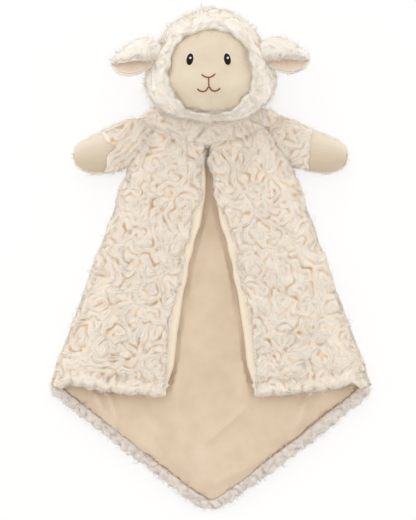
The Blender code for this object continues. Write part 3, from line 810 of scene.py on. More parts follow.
def lining_rise(x, y):
    """Soft folds of the back's lining: bell-shaped ridges along lines, and a little noise."""
    total = 0.0006 * (1 + sample(curl_lump, x * 0.7, y * 0.7))
    for x0, y0, x1, y1, width, height in lining_folds:
        dx, dy = x1 - x0, y1 - y0
        along = ((x - x0) * dx + (y - y0) * dy) / (dx * dx + dy * dy)
        away = ((x - x0) * dy - (y - y0) * dx) / math.hypot(dx, dy)
        ends = np.clip(1.6 - np.abs(along - 0.5) * 2.0, 0, 1)
        total = total + 2.1 * height * bell(away, 0.8 * width) * eased(ends)
    return total


def back_lining_rings():
    """The back's lining: a thin sheet from the neck to the hem roll, with soft folds."""
    rows, columns = 200, 150
    t = np.linspace(0, 1, rows)
    end_y = fold_y + hem_border_drop * 0.80
    levels = neck_y - 0.001 + (end_y - neck_y) * t
    a = np.linspace(-1, 1, columns)[None, :]
    x = a * (side_x(levels) + 0.0002)[:, None]
    y = levels[:, None] - tip_drop * (t ** 2)[:, None] * fall(a)
    inside = np.clip((1 - np.abs(a)) / 0.05, 0, 1) * np.clip((1 - t[:, None]) / 0.03, 0, 1)
    low = back_lining_z + 0.0018 * np.clip((np.abs(x) - side_x(levels)[:, None] + 0.006) / 0.005, 0, 1)
    flap_over = np.clip((y - front_y - 0.004) / 0.01, 0, 1) * (np.abs(x) > opening_x(y) - 0.004)
    high = low + lining_thickness + lining_rise(x, y) * inside * (1 - 0.8 * flap_over)
    return sheet_rings(x, y, high, low)


# The part of the hem's section that lies along its seam, and how dark a line the painted crease shade draws
# there
hem_seam_columns = slice(14, 18)
hem_seam_darkening = (0.2, 0.7, 1.4, 1.4)


def add_back(plush, velour, border):
    """The back: its pile cloth, its lining, and the fur roll along the point."""
    rings, furred = back_rings()
    pile = Pile(rings, furred_mask(rings, furred), depth=0.0024, lump=0.0004)
    cloth = pile.add("back_plush", "blanket", plush)
    fibres = add_strands("back_fibres", pile, count=2500, seed=31, body="blanket", lift=0.0003,
                         thick=0.00013)
    rings = hem_rings()
    hem_pile = Pile(rings, np.ones(rings.shape[:2]), depth=0.0015, lump=0.0006, scale=0.9)
    # The roll's painted crease shade is halved.
    hem_pile.crease_shade = hem_pile.crease_shade * 0.5
    # A dark line along the seam, drawn with the same painted crease shade.
    hem_pile.crease_shade[:, hem_seam_columns] = hem_seam_darkening
    # The border material is a greyer copy of the cream plush: painted shade for the roll, which lies in
    # shadow.
    hem = hem_pile.add("hem_roll", "blanket", border)
    hem_fibres = add_strands("hem_fibres", hem_pile, count=7000, seed=33, body="blanket", length=0.0045,
                             lift=0.0013, material=shaded_border_fibre)
    lining = dress(add_rings("back_lining", back_lining_rings(), "blanket"), velour)
    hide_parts("blanket_back_plush")
    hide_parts("blanket_back_lining")


# Head

def head_width(y, inset):
    """The head's half width at y: an oval that is fuller and squarer at the jowls."""
    level = np.clip((y - head_y) / (head_half_height - inset), -1, 1)
    power = np.where(level > 0, 1.0, 0.75)
    return (head_half_width - inset) * np.sqrt(1 - level ** 2) ** power * (1 - pear_share * level)


def head_height(x, y, inset, side):
    """The z of the head's front or back over a point of its plan, a squarish oval across."""
    level = np.clip((y - head_y) / (head_half_height - inset), -1, 1)
    width = np.maximum(head_width(y, inset), 0.0003)
    across = np.clip(np.abs(x) / width, 0, 1)
    depth = (head_half_depth - inset) * np.sqrt(1 - level ** 2) ** depth_share
    return np.maximum(head_z + side * depth * (1 - across ** section_share) ** (1 / section_share), 0)


def head_outline(turn, inset):
    """The head's outline in plan, once around from its top, with a dent at the upper left."""
    y = head_y + (head_half_height - inset) * np.cos(turn)
    y = y - 0.0018 * bell(np.mod(turn + math.pi, full_turn) - math.pi + 0.45, 0.28)
    return np.sign(np.sin(turn)) * head_width(y, inset), y


def face_outline(turn, grow):
    """The face's outline in plan, a soft-cornered oval, once around from its top."""
    x = np.sign(np.sin(turn)) * (face_half_width + grow) * np.abs(np.sin(turn)) ** face_round_share
    return x, face_y + (face_half_height + grow) * np.cos(turn)


def face_height(x, y):
    """The z of the face: the head's front, sunk by the pile's depth, with a muzzle, a seam and puckers."""
    away = np.hypot(x / muzzle_half_width, (y - muzzle_y) / muzzle_half_height)
    bump = muzzle_rise * bell(away, 1)
    seam = -chin_seam_depth * bell(x, chin_seam_width) * np.clip((0.159 - y) / 0.006, 0, 1)
    radius = np.hypot(x / face_half_width, (y - face_y) / face_half_height)
    turn = np.arctan2(x, y - face_y)
    dents = face_dent_depth * sample(curl_lump, x + 0.11, y * 0.9)
    rim = np.clip((radius - 0.72) / 0.25, 0, 1) ** 2
    pucker = face_pucker_depth * np.cos(turn * 13 + 2 * np.sin(turn * 2 + 1)) * rim
    low = np.clip(-(y - face_y) / 0.02, 0, 1)
    return head_height(x, y, face_sink, 1) + bump + seam + dents + pucker * (0.35 + low)


head_columns = 470
head_plug_rows = 3
head_plug_sink = 0.0085
head_wall_rows = 12
head_rim_rows = 84
head_back_rows = 80
face_edge_round = 0.0055
face_edge_depth = 0.0075
head_rim_band = slice(-110, -60)
chin_band = slice(-105, -50)


def head_rings():
    """The head's pile: rings around the face, from a plug behind it, over the rounded edge of the pile,
    out to the head's rim, and in over the back to its middle."""
    turn = ring_angles(head_columns)[None, :]
    ragged = 0.0005 * (np.sin(7 * turn + 1) + np.sin(12 * turn + 2.2) + np.sin(19 * turn))
    face_x, face_edge_y = face_outline(turn, ragged - 0.0012)
    rim_x, rim_y = head_outline(turn, 0)
    share = np.array([0.02, 0.35, 0.7])[:, None]
    x, y = face_x * share, face_y + (face_edge_y - face_y) * share
    plug = stack(x, y, head_height(x, y, head_plug_sink, 1))
    near = np.minimum(face_edge_round / np.hypot(rim_x - face_x, rim_y - face_edge_y), 0.5)
    angle = np.linspace(0, quarter, head_wall_rows)[:, None]
    wall_share = near * (1 - np.cos(angle))
    front_share = near + (1 - near) * np.sin(np.linspace(0, quarter, head_rim_rows))[1:, None]
    share = np.concatenate([wall_share, front_share])
    x = face_x + (rim_x - face_x) * share
    y = face_edge_y + (rim_y - face_edge_y) * share
    z = head_height(x, y, 0, 1)
    z[:head_wall_rows] -= face_edge_depth * (1 - np.sin(angle))
    z[-1] = head_z
    front = stack(x, y, z)
    share = np.cos(np.linspace(0, quarter, head_back_rows))[1:, None]
    share[-1] = 0.01
    x, y = rim_x * share, head_y + (rim_y - head_y) * share
    return np.concatenate([plug, front, stack(x, y, head_height(x, y, 0, -1))])


def add_head(plush, velour):
    """The head: its pile with fibres, and the velour face set into it."""
    rings = head_rings()
    wall = head_plug_rows + head_wall_rows
    mask = np.ones(rings.shape[:2])
    mask[:head_plug_rows] = 0
    mask[head_plug_rows:wall + 20] = np.linspace(0, 1, 20 + head_wall_rows)[:, None] ** 1.5
    pile = Pile(rings, mask, depth=0.0025, lump=0.0011, scale=1.2)
    head = pile.add("head_plush", "head", plush)
    edge, rim, chin = (np.zeros(rings.shape[:2]) for _ in range(3))
    edge[head_plug_rows + 2:wall + 4] = 1
    rim[head_rim_band] = 1
    chin[chin_band] = np.clip(-np.cos(ring_angles(head_columns)) - 0.2, 0, 1)
    add_strands("head_fibres", pile, count=6000, seed=51, body="head", lift=0.0010, thick=0.00011)
    add_strands("face_edge_fibres", pile, count=2400, seed=57, body="head", length=0.0075, lift=0.0017,
                mask=edge, locks=0)
    add_strands("head_rim_fibres", pile, count=2600, seed=59, body="head", lift=0.0016, mask=rim)
    add_strands("chin_fibres", pile, count=2400, seed=61, body="head", length=0.0085, lift=0.0022,
                mask=chin)
    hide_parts("head_front_plush", "head_back_plush", "head_stuffing")
    face = dress(add_rings("face_velour_panel", face_rings(), "head"), velour)
    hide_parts("face_velour")


def face_rings():
    """The face: rings from its middle out under the pile's edge, and back underneath."""
    turn = ring_angles(220)[None, :]
    share = np.linspace(0.01, 1, 74)[:, None]
    rim_x, rim_y = face_outline(turn, 0.0015)
    x, y = rim_x * share, face_y + (rim_y - face_y) * share
    dip = 0.0012 * np.clip((share - 0.93) / 0.07, 0, 1) ** 2
    over = stack(x, y, np.maximum(face_height(x, y) - dip, head_z + 0.0045))
    under = over[::-6].copy()
    under[..., 2] -= face_thickness
    return np.concatenate([over, under])


# Embroidery

def smooth_path(knots, steps):
    """A curve near its knots: straight from knot to knot, then averaged over neighbours."""
    knots = np.array(knots, float)
    number, at = np.arange(len(knots)), np.linspace(0, len(knots) - 1, steps)
    path = np.stack([np.interp(at, number, column) for column in knots.T], axis=1)
    for _ in range(steps // 8):
        path[1:-1] = (path[:-2] + 2 * path[1:-1] + path[2:]) / 4
    return path


stitch_shift = np.array((-0.0018, -0.0021))
thread_half_width = 0.00066
thread_half_height = 0.00062
thread_twist = 0.0011
thread_end = 0.0009
satin_spacing = 0.00045
eye_out = 0.0178
eye_up = 0.014
eye_half_width = 0.0034
eye_half_height = 0.0058
eye_lean = 0.0007
eye_border_gap = 0.0002
eye_border_half_width = 0.00042
eye_border_half_height = 0.00032
shine_radius = 0.0010
# Lines of stitching: piece, node, half width, and knots in plan before the shift
thread_lines = (
    ("nose_thread", "nose_stitching", thread_half_width,
     [(-0.0068, 0.1771), (-0.0038, 0.1749), (0, 0.17395), (0.0036, 0.1753), (0.0064, 0.1777)]),
    ("lip_thread", "lip_stitching", 0.0006, [(0, 0.1736), (0.0001, 0.169), (0.0002, 0.1653)]),
    ("mouth_left_thread", "mouth_left_stitching", thread_half_width,
     [(-0.0110, 0.1634), (-0.0085, 0.1612), (-0.0055, 0.1604), (-0.0025, 0.1615), (0.0, 0.1653)]),
    ("mouth_right_thread", "mouth_right_stitching", thread_half_width,
     [(0.0111, 0.1639), (0.0086, 0.1617), (0.0056, 0.1608), (0.0027, 0.1618), (0.0003, 0.1653)]),
)


def add_thread_line(name, node, half_width, knots, thread):
    """A line of satin stitch over the face: an oval tube whose radius swells with each slanting stitch."""
    path = smooth_path(np.array(knots) + stitch_shift, 90)
    along = unit(np.gradient(path, axis=0))
    across = np.stack([-along[:, 1], along[:, 0]], axis=1)
    length = np.cumsum(np.linalg.norm(np.gradient(path, axis=0), axis=1))
    angle = ring_angles(12)[None, :]
    taper = np.clip(np.minimum(length, length[-1] - length) / thread_end, 0.25, 1)[:, None] ** 0.5
    swell = taper * (1 + 0.13 * np.cos(full_turn * length[:, None] / thread_twist + angle))
    reach = half_width * np.cos(angle) * swell
    x = path[:, :1] + across[:, :1] * reach
    y = path[:, 1:] + across[:, 1:] * reach
    z = face_height(x, y) + 0.0002 + thread_half_height * np.sin(angle) * swell
    piece = dress(add_rings(name, stack(x, y, z), "head"), thread)
    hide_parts(node)


def oval_rings(centre, half_width, half_height, lean, thickness, ridge, lift=0.0):
    """A raised oval on the face: a dome with slanting satin ridges, closed underneath."""
    turn = ring_angles(64)[None, :]
    share = np.sin(np.linspace(0.02, quarter, 16))[:, None]
    x = centre[0] + (half_width * np.sin(turn) + lean * np.cos(turn)) * share
    y = centre[1] + half_height * np.cos(turn) * share
    stitches = ridge * np.cos(full_turn * (y + 0.35 * x) / satin_spacing)
    z = face_height(x, y) + lift + thickness * np.sqrt(1 - share ** 2 * 0.97) + stitches * (1 - share ** 4)
    over = stack(x, y, z)
    under = over[::-5].copy()
    under[..., 2] = face_height(under[..., 0], under[..., 1]) + lift - 0.0003
    return np.concatenate([over, under])


def add_eye_border(name, centre, lean, thread):
    """The pale rim around an eye: a thin oval tube on the face, joined end to end."""
    half_width, half_height = eye_half_width + eye_border_gap, eye_half_height + eye_border_gap
    turn, angle = ring_angles(80), ring_angles(8)[None, :]
    ring_x = centre[0] + half_width * np.sin(turn) + lean * np.cos(turn)
    ring_y = centre[1] + half_height * np.cos(turn)
    out = unit(np.stack([np.sin(turn) / half_width, np.cos(turn) / half_height], axis=1))
    x = ring_x[:, None] + out[:, :1] * eye_border_half_width * np.cos(angle)
    y = ring_y[:, None] + out[:, 1:] * eye_border_half_width * np.cos(angle)
    z = face_height(x, y) + 0.00012 + eye_border_half_height * np.sin(angle)
    points = stack(x, y, z).reshape(-1, 3)
    quads = grid_quads(81, 8) % len(points)
    border = add_mesh(name, points, quads[:, ::-1].ravel(), np.full(len(quads), 4), "head")
    dress(border, thread)


def add_embroidery(black, white, brown, pale):
    """The eyes with their pale borders and highlights, the nose, the lip line and the mouth."""
    for label, side in sides:
        centre = stitch_shift + (side * eye_out, face_y + eye_up)
        rings = oval_rings(centre, eye_half_width, eye_half_height, lean=-side * eye_lean,
                           thickness=0.0010, ridge=0.00005)
        eye = dress(add_rings(f"eye_{label}_stitches", rings, "head"), black)
        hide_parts(f"eye_{label}")
        shine_at = (centre[0] + 0.0004, centre[1] + 0.0013)
        rings = oval_rings(shine_at, shine_radius, shine_radius, lean=0, thickness=0.0006,
                           ridge=0.00002, lift=0.0009)
        shine = dress(add_rings(f"eye_{label}_highlight_stitches", rings, "head"), white)
        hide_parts(f"eye_{label}_highlight")
        add_eye_border(f"eye_{label}_border", centre, -side * eye_lean, pale)
    for name, node, half_width, knots in thread_lines:
        add_thread_line(name, node, half_width, knots, brown)


# Collar, from shoulder to shoulder: knots of its middle, and its section
collar_knots = (
    (-0.064, 0.132, 0.014), (-0.050, 0.132, 0.022), (-0.026, 0.1255, 0.026), (0, 0.1230, 0.0275),
    (0.026, 0.1255, 0.026), (0.050, 0.132, 0.022), (0.064, 0.132, 0.014),
)
collar_half_width = 0.0165
collar_half_height = 0.0072
collar_slope = np.array((0, 0, -0.50))


def add_collar(plush):
    """The gathered plush under the chin: ovals along an arc from shoulder to shoulder."""
    rows, columns = 230, 96
    path = smooth_path(collar_knots, rows)
    out = unit(np.cross(unit(np.gradient(path, axis=0)), np.array((0, 0, 1))))
    taper = np.maximum(np.sqrt(1 - np.linspace(-1, 1, rows) ** 2), 0.12) ** 0.8
    angle = ring_angles(columns)
    wide = (collar_half_width * taper)[:, None] * np.cos(angle)
    tall = (collar_half_height * taper)[:, None] * np.sin(angle) * (1 - 0.60 * np.cos(angle))
    rings = path[:, None] + (out[:, None] + collar_slope) * wide[..., None] + stack(0, 0, tall)
    pile = Pile(rings, np.ones((rows, columns)), depth=0.0032, lump=0.0012)
    collar = pile.add("collar_plush", None, plush)
    fibres = add_strands("collar_fibres", pile, count=3000, seed=71, body=None, length=0.0070,
                         lift=0.0009)
    for piece in (collar, fibres):
        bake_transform(piece)
    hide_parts("neck_gather")


# Arms

def arm_surface(share, across, inset, side):
    """The arm's front, side 1, or back, side -1: squarish ovals from the slanting shoulder to the paw."""
    swell = np.clip(share / paw_swell_share, 0, 1)
    ease = eased(swell)
    beyond = np.clip((share - paw_swell_share) / (1 - paw_swell_share), 0, 1)
    close = np.maximum(1 - beyond ** paw_end_share, 0) ** (1 / paw_end_share)
    knuckle = np.sqrt(1 - np.clip(-share * arm_length / shoulder_knuckle, 0, 1) ** 2)
    half_width = arm_root_half_width + (paw_half_width - arm_root_half_width) * swell
    half_thick = arm_root_half_thick + (paw_half_thick - arm_root_half_thick) * ease
    middle_z = fold_axis_z + (paw_middle_z - fold_axis_z) * ease
    upper = 0.34 * (1 - swell) - 0.25 * np.clip((share - 0.35) / 0.4, 0, 1) + 0.10 * bell(share - 0.2, 0.2)
    half_width = np.maximum(half_width - inset, thinnest) * close * (1 + np.maximum(across, 0) * upper)
    half_thick = np.maximum(half_thick - inset, thinnest) * close * knuckle
    direction = unit(arm_root_across * (1 - swell[..., None]) + paw_across * swell[..., None])
    reach = share - np.clip(share - 0.5, 0, 1) * 2 * inset / arm_length
    centre = arm_root + np.array((arm_length, -arm_sweep)) * np.maximum(reach, 0)[..., None]
    centre = centre + arm_outward * (np.minimum(reach, 0) * arm_length)[..., None]
    place = centre + direction * (half_width * across)[..., None]
    bow = np.maximum(1 - np.abs(across) ** arm_section_share, 0) ** (1 / arm_section_share)
    return stack(place[..., 0], place[..., 1], np.maximum(middle_z + side * half_thick * bow, 0))


def cuff_line(across, side):
    """The share of the arm's length where the sleeve meets the pad: pinched left, slanting right."""
    if side > 0:
        return cuff_share - 0.09 + 0.045 * across + 0.010 * np.sin(across * 13)
    return cuff_share - 0.03 + 0.07 * across ** 2 - 0.10 * bell(across - 0.1, 0.22)


def arm_rings(side):
    """The arm's body: the sleeve's and the back's pile, sunk where the pad lies over it, and where it
    is furred."""
    angle = ring_angles(200)[None, :]
    across, front = np.cos(angle), np.sin(angle) >= 0
    turn = np.linspace(0, quarter, 44)[1:]
    share = np.concatenate([np.linspace(-0.98 * shoulder_knuckle / arm_length, 0, 8)[:-1],
                            np.linspace(0, paw_swell_share, 62),
                            paw_swell_share + (1 - paw_swell_share) * np.sin(turn)])[:, None]
    share[-1] = 0.99999
    sunk = eased(np.clip((share - cuff_line(across, side)) * arm_length / 0.0035, 0, 1))
    sunk = sunk * front * np.clip((0.99 - np.abs(across)) / 0.05, 0, 1)
    share, across = np.broadcast_arrays(share, across)
    top = arm_surface(share, across, 0.0, 1)
    inner = arm_surface(share, across, pad_bed_inset, 1)
    low = arm_surface(share, across, 0.0, -1)
    rings = np.where(front[..., None], top * (1 - sunk[..., None]) + inner * sunk[..., None], low)
    return rings, 1 - sunk


def pad_rings(side):
    """The paw's velour pad: from the cuff line to the paw's tip, crowned, with its rim turned under, and
    how pale its painted light makes it, most on its side towards the head."""
    rows, columns = 60, 90
    across = np.sin(np.linspace(-quarter, quarter, columns))[None, :] * 0.985
    start = cuff_line(across, side) + 0.012
    turn = np.linspace(0, 1, rows)[:, None]
    last = paw_swell_share + (1 - paw_swell_share) * 0.998
    share = start + (last - start) * np.sin(turn * quarter)
    edge = np.minimum(turn * rows / 6, (1 - np.abs(across)) / 0.03)
    edge = round_off(np.minimum(edge, (1 - turn) * rows / 2.5), 1.0)
    across = across + 0 * share
    over = arm_surface(share, across, pad_inset, 1)
    low = arm_surface(share, across, pad_under_inset, 1)
    over = low + (over - low) * edge[..., None]
    pucker = pad_pucker_depth * np.cos(across * 21 + 4 * np.sin(across * 5)) * np.exp(-turn * rows / 10)
    over[..., 2] += pucker * edge
    under = low - np.array((0, 0, pad_thickness))
    # Painted light: paler on the pad's side towards the head, as if lit from there.
    pale = np.clip(0.45 + 0.9 * across, 0, 1)
    return np.concatenate([over, under[:, ::-1]], axis=1), there_and_back(pale)


def add_arm(label, side, plush, velour):
    """An arm: a furred body from the shoulder to the paw, and a velour pad on the paw."""
    rings, mask = arm_rings(side)
    pile = Pile(mirrored(rings, side), mask, depth=0.0022, lump=0.0006)
    body = pile.add(f"arm_{label}_plush", None, plush)
    fibres = add_strands(f"arm_{label}_fibres", pile, count=2200, seed=81 + side, body=None, lift=0.0010)
    rings, pale = pad_rings(side)
    pad = dress(add_rings(f"paw_{label}_velour", mirrored(rings, side), None), velour)
    set_values(pad, "pale", pale)
    root = stack(side * arm_root[0], arm_root[1], fold_axis_z)
    out = stack(side * arm_outward[0], arm_outward[1], 0)
    for piece in (body, fibres, pad):
        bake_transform(piece)
    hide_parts(f"arm_{label}_back_plush", f"arm_{label}_sleeve", f"arm_{label}_stuffing")
    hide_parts(f"paw_{label}_pad")


# Ears

def ear_surface(share, angle, inset):
    """The ear: an open oval across, folded over at the top, along a drooping line."""
    spread = ear_root_share + (1 - ear_root_share) * share
    width = ear_half_width * np.maximum(np.sin(math.pi * np.minimum(spread, 1)), 0) ** ear_leaf_share
    middle = np.interp(share, (0, 0.4, 0.94, 1), (0.0056, 0.0080, 0.0050, 0.0012))
    q = np.maximum(width - inset, thinnest) * np.cos(angle)
    x = ear_root[0] + ear_length * share - ear_lean_share * q
    y = ear_root[1] - ear_sweep * share + q
    z = ear_root[2] - ear_droop * np.maximum(share, 0) ** 1.5
    return stack(x, y, z + np.maximum(middle - inset, thinnest) * np.sin(angle))


def ear_rings(first, last, outer, inner, tilt):
    """A layer of the ear: sections over its outside and back along its inside, from root to tip."""
    share = (first + (last - first) * (1 - (1 - np.linspace(0, 1, 70)) ** 1.5))[:, None]
    fold = 98 + 16 * (2 * share - 1) ** 2
    angle = np.radians(-158 + (fold + 158) * np.linspace(0, 1, 90)[None, :])
    over = ear_surface(share, angle, outer)
    under = ear_surface(share, angle[:, ::-3], inner)
    rings = np.concatenate([over, under], axis=1)
    rings[..., 1] += tilt * (rings[..., 0] - ear_root[0])
    return rings, over.shape[1]


def add_ear(label, side, plush, velour):
    """An ear: a short-piled leaf that is folded forward, and the velour inside it."""
    tilt = 0.09 * (side > 0)
    rings, furred = ear_rings(first=-0.14, last=0.998, outer=0, inner=0.0026, tilt=tilt)
    mask = furred_mask(rings, furred)
    rim = mask * 0.5
    rim[:, furred - 6:furred] = 4
    rim[:, 30:55] = 1.5
    pile = Pile(mirrored(rings, side), mask, depth=0.0007, lump=0.0003, scale=1.3)
    leaf = pile.add(f"ear_{label}_leaf", None, plush)
    fibres = add_strands(f"ear_{label}_fibres", pile, count=1600, seed=91 + side, body=None,
                         length=0.0046, lift=0.0014, mask=rim)
    rings, _ = ear_rings(first=-0.10, last=0.93, outer=0.0027, inner=0.0037, tilt=tilt)
    lining = dress(add_rings(f"ear_{label}_lining", mirrored(rings, side), None), velour)
    for piece in (leaf, fibres, lining):
        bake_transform(piece)
    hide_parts(f"ear_{label}_plush")
    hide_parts(f"ear_{label}_velour")


# Materials

def node(tree, kind, **inputs):
    """A node of a kind, with the values given for its inputs by name."""
    made = tree.nodes.new(kind)
    for name, value in inputs.items():
        made.inputs[name.replace("_", " ")].default_value = value
    return made


def nap_group():
    """Fibre nap: coarse mottling from soft noise and a fine grain from sharp noise, on object places."""
    group = bpy.data.node_groups.new("nap", "ShaderNodeTree")
    for name in ("Mottle Scale", "Grain Scale"):
        group.interface.new_socket(name, in_out="INPUT", socket_type="NodeSocketFloat")
    for name in ("Mottle", "Grain"):
        group.interface.new_socket(name, in_out="OUTPUT", socket_type="NodeSocketFloat")
    inlet = group.nodes.new("NodeGroupInput")
    outlet = group.nodes.new("NodeGroupOutput")
    place = group.nodes.new("ShaderNodeTexCoord")
    for name, detail in (("Mottle", 3.0), ("Grain", 5.0)):
        noise = node(group, "ShaderNodeTexNoise", Detail=detail, Roughness=0.6)
        group.links.new(place.outputs["Object"], noise.inputs["Vector"])
        group.links.new(inlet.outputs[f"{name} Scale"], noise.inputs["Scale"])
        group.links.new(noise.outputs["Fac"], outlet.inputs[name])
    return group


nap = nap_group()
# Painted shade: the warm tan that the pile's creases are coloured with.
crease_shade_tan = (0.88, 0.68, 0.48)


def new_material(name, roughness, sheen):
    """An empty matt cloth material: its tree and its shader."""
    material = bpy.data.materials.new(name)
    material.use_nodes = True
    tree = material.node_tree
    shader = tree.nodes["Principled BSDF"]
    shader.inputs["Roughness"].default_value = roughness
    shader.inputs["Specular IOR Level"].default_value = 0.2
    shader.inputs["Sheen Weight"].default_value = sheen
    shader.inputs["Sheen Roughness"].default_value = 0.35
    shader.inputs["Sheen Tint"].default_value = (1.0, 0.95, 0.88, 1)
    return material, tree, shader


def mixed(tree, factor, first, second):
    """A colour between two colours or sockets, by a factor socket."""
    mix = tree.nodes.new("ShaderNodeMix")
    mix.data_type = "RGBA"
    tree.links.new(factor, mix.inputs["Factor"])
    for socket, value in ((mix.inputs[6], first), (mix.inputs[7], second)):
        if isinstance(value, tuple):
            socket.default_value = (*value, 1)
        else:
            tree.links.new(value, socket)
    return mix.outputs[2]


def maths(tree, operation, first, second):
    """A number worked out from two numbers or sockets."""
    made = tree.nodes.new("ShaderNodeMath")
    made.operation = operation
    for socket, value in zip(made.inputs, (first, second)):
        if isinstance(value, (int, float)):
            socket.default_value = value
        else:
            tree.links.new(value, socket)
    return made.outputs[0]


def placed_nap(tree, mottle_scale, grain_scale):
    """The nap group in a material, with its own scales."""
    made = tree.nodes.new("ShaderNodeGroup")
    made.node_tree = nap
    made.inputs["Mottle Scale"].default_value = mottle_scale
    made.inputs["Grain Scale"].default_value = grain_scale
    return made


def bumped(tree, shader, height, distance):
    """The shader's normal, bumped by a height socket."""
    bump = node(tree, "ShaderNodeBump", Distance=distance, Strength=1.0)
    tree.links.new(height, bump.inputs["Height"])
    tree.links.new(bump.outputs["Normal"], shader.inputs["Normal"])


def read_value(tree, name):
    """A number that the piece carries for each of its points."""
    made = tree.nodes.new("ShaderNodeAttribute")
    made.attribute_name = name
    return made.outputs["Fac"]


def pile_material(name, light, dark, painted_shade=crease_shade_tan, strand=False):
    """Plush: two tones of cream mottled together, a painted warm tan shade down in the creases, and a fine
    fibre grain.
    """
    material, tree, shader = new_material(name, roughness=0.88, sheen=1.0)
    group = placed_nap(tree, mottle_scale=85, grain_scale=1300)
    tone = read_value(tree, "tone")
    if not strand:
        comb = maths(tree, "MULTIPLY", read_value(tree, "comb"), 0.6)
        tone = maths(tree, "ADD", maths(tree, "MULTIPLY", group.outputs["Mottle"], 0.3), comb)
    colour = mixed(tree, tone, light, dark)
    # Painted shade: the crease value, scaled by the mottle, mixes the crease colour into the tone.
    depth = maths(tree, "ADD", group.outputs["Mottle"], 0.65)
    crease_shade = maths(tree, "MULTIPLY", read_value(tree, "crease_shade"), depth)
    colour = mixed(tree, crease_shade, colour, painted_shade)
    tree.links.new(colour, shader.inputs["Base Color"])
    if not strand:
        bumped(tree, shader, group.outputs["Grain"], distance=0.0004)
        shader.inputs["Subsurface Weight"].default_value = 0.5
        shader.inputs["Subsurface Radius"].default_value = (1.0, 0.8, 0.6)
        shader.inputs["Subsurface Scale"].default_value = 0.0020
    return material


def velour_material(name, light, dark, mottle=38, pale=None):
    """Velour: two close tones in brushed patches, a fine nap, and a paler tone of painted light where the
    piece says so.
    """
    material, tree, shader = new_material(name, roughness=0.82, sheen=0.45)
    group = placed_nap(tree, mottle, grain_scale=1900)
    colour = mixed(tree, group.outputs["Mottle"], light, dark)
    if pale:
        colour = mixed(tree, read_value(tree, "pale"), colour, pale)
    tree.links.new(colour, shader.inputs["Base Color"])
    bumped(tree, shader, group.outputs["Grain"], distance=0.00018)
    return material


def thread_material(name, light, dark, roughness):
    """Satin thread: fine dark lines between the strands of each stitch."""
    material, tree, shader = new_material(name, roughness, sheen=0.1)
    group = placed_nap(tree, mottle_scale=700, grain_scale=3000)
    tree.links.new(mixed(tree, group.outputs["Mottle"], light, dark), shader.inputs["Base Color"])
    bumped(tree, shader, group.outputs["Grain"], distance=0.0001)
    return material


cream = pile_material("cream plush", (0.975, 0.90, 0.835), (0.925, 0.805, 0.70))
# Painted light: a lighter copy of the cream plush for the head and ears, which are more brightly lit.
lit_cream = pile_material("bright cream plush", (1.0, 0.955, 0.91), (0.96, 0.87, 0.79))
fibre = pile_material("cream fibres", (1.0, 0.96, 0.885), (0.99, 0.92, 0.825), (0.94, 0.75, 0.55),
                      strand=True)
# Painted shade: greyer copies of the cream plush and fibres for the hem roll, which lies in shade, with dark
# brown crease shade.
shaded_border_plush = pile_material("border plush", (0.92, 0.87, 0.83), (0.80, 0.73, 0.68), (0.42, 0.29, 0.19))
shaded_border_fibre = pile_material("border fibres", (0.90, 0.86, 0.82), (0.80, 0.74, 0.69), (0.58, 0.47, 0.38),
                             strand=True)
# Painted light: the lining's pale tone lights up its rolled free edge.
lining_velour = velour_material("lining velour", (0.905, 0.765, 0.605), (0.645, 0.515, 0.375), mottle=30,
                                pale=(0.93, 0.83, 0.69))
face_velour = velour_material("face velour", (0.86, 0.765, 0.625), (0.70, 0.60, 0.46))
# Painted light: the paw's pale tone lights its side towards the head.
paw_velour = velour_material("paw velour", (0.73, 0.62, 0.485), (0.58, 0.48, 0.355), pale=(0.81, 0.72, 0.60))
ear_velour = velour_material("ear velour", (0.96, 0.83, 0.71), (0.91, 0.76, 0.63))
pale_thread = velour_material("pale border", (0.88, 0.82, 0.70), (0.82, 0.75, 0.62), mottle=300)
black_thread = thread_material("black thread", (0.012, 0.011, 0.012), (0.004, 0.004, 0.004), 0.45)
white_thread = thread_material("white thread", (0.95, 0.95, 0.95), (0.85, 0.85, 0.85), 0.5)
brown_thread = thread_material("brown thread", (0.30, 0.115, 0.045), (0.17, 0.060, 0.025), 0.55)


# Stage

# Square lamps as in a light tent: name, place, side, watts
lamps = (
    ("key", (-0.25, 0.95, 1.35), 1.8, 7.2), ("head side", (0, 1.35, 0.38), 1.2, 3.0),
    ("left side", (-1.35, 0.1, 0.38), 1.2, 5.0), ("right side", (1.35, 0.1, 0.38), 1.2, 5.0),
    ("foot side", (0, -1.35, 0.38), 1.2, 3.0),
)
world_glow = 0.68
world_extra_seen = 0.32
camera_distance = 8.0
sensor_width = 36
picture_side = 0.4992
picture_middle = (-0.0024, -0.0014)


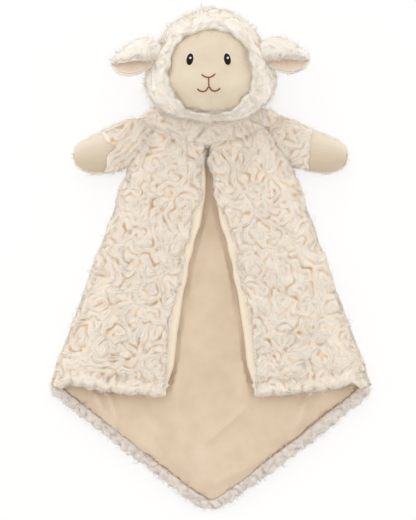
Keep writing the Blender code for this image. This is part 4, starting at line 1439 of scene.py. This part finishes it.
def add_floor():
    """A pale floor that keeps the shadow and glows a little for the camera."""
    bpy.ops.mesh.primitive_plane_add(size=12, location=(0, 0, -0.0004))
    floor = bpy.context.object
    floor.name = "floor"
    material = bpy.data.materials.new("floor white")
    material.use_nodes = True
    tree = material.node_tree
    shader = tree.nodes["Principled BSDF"]
    shader.inputs["Base Color"].default_value = (0.95, 0.95, 0.95, 1)
    shader.inputs["Roughness"].default_value = 0.9
    glow = node(tree, "ShaderNodeEmission", Strength=1.03)
    path = tree.nodes.new("ShaderNodeLightPath")
    mix = tree.nodes.new("ShaderNodeMixShader")
    tree.links.new(maths(tree, "MULTIPLY", path.outputs["Is Camera Ray"], 0.75), mix.inputs["Fac"])
    tree.links.new(shader.outputs["BSDF"], mix.inputs[1])
    tree.links.new(glow.outputs["Emission"], mix.inputs[2])
    tree.links.new(mix.outputs["Shader"], tree.nodes["Material Output"].inputs["Surface"])
    floor.data.materials.append(material)


def add_world():
    """A pale world, brighter where the camera sees it."""
    world = bpy.data.worlds.new("pale world")
    bpy.context.scene.world = world
    world.use_nodes = True
    tree = world.node_tree
    background = tree.nodes["Background"]
    path = tree.nodes.new("ShaderNodeLightPath")
    seen = maths(tree, "MULTIPLY", path.outputs["Is Camera Ray"], world_extra_seen)
    tree.links.new(maths(tree, "ADD", seen, world_glow), background.inputs["Strength"])
    background.inputs["Color"].default_value = (1.0, 0.96, 0.90, 1)


def add_lamps():
    """Each lamp in its place, turned towards the origin."""
    for name, place, size, power in lamps:
        data = bpy.data.lights.new(name, "AREA")
        data.size = size
        data.energy = power
        lamp = bpy.data.objects.new(name, data)
        lamp.location = place
        direction = -np.array(place)
        lean = math.atan2(math.hypot(direction[0], direction[1]), -direction[2])
        lamp.rotation_euler = (lean, 0, math.atan2(-direction[0], direction[1]))
        bpy.context.collection.objects.link(lamp)


def add_camera():
    """Straight above, far off, with the photograph's frame over its longer side."""
    data = bpy.data.cameras.new("camera")
    data.sensor_width = sensor_width
    data.lens = sensor_width * camera_distance / picture_side
    data.clip_end = 100
    camera = bpy.data.objects.new("camera", data)
    camera.location = (*picture_middle, camera_distance)
    bpy.context.collection.objects.link(camera)
    bpy.context.scene.camera = camera
    bpy.context.scene.view_settings.view_transform = "Standard"


add_floor()
add_world()
add_lamps()
add_camera()
add_back(cream, lining_velour, shaded_border_plush)
for side_label, side_sign in sides:
    add_front(side_label, side_sign, cream, lining_velour)
    add_arm(side_label, side_sign, cream, paw_velour)
    add_ear(side_label, side_sign, lit_cream, ear_velour)
add_collar(cream)
add_head(lit_cream, face_velour)
add_embroidery(black_thread, white_thread, brown_thread, pale_thread)
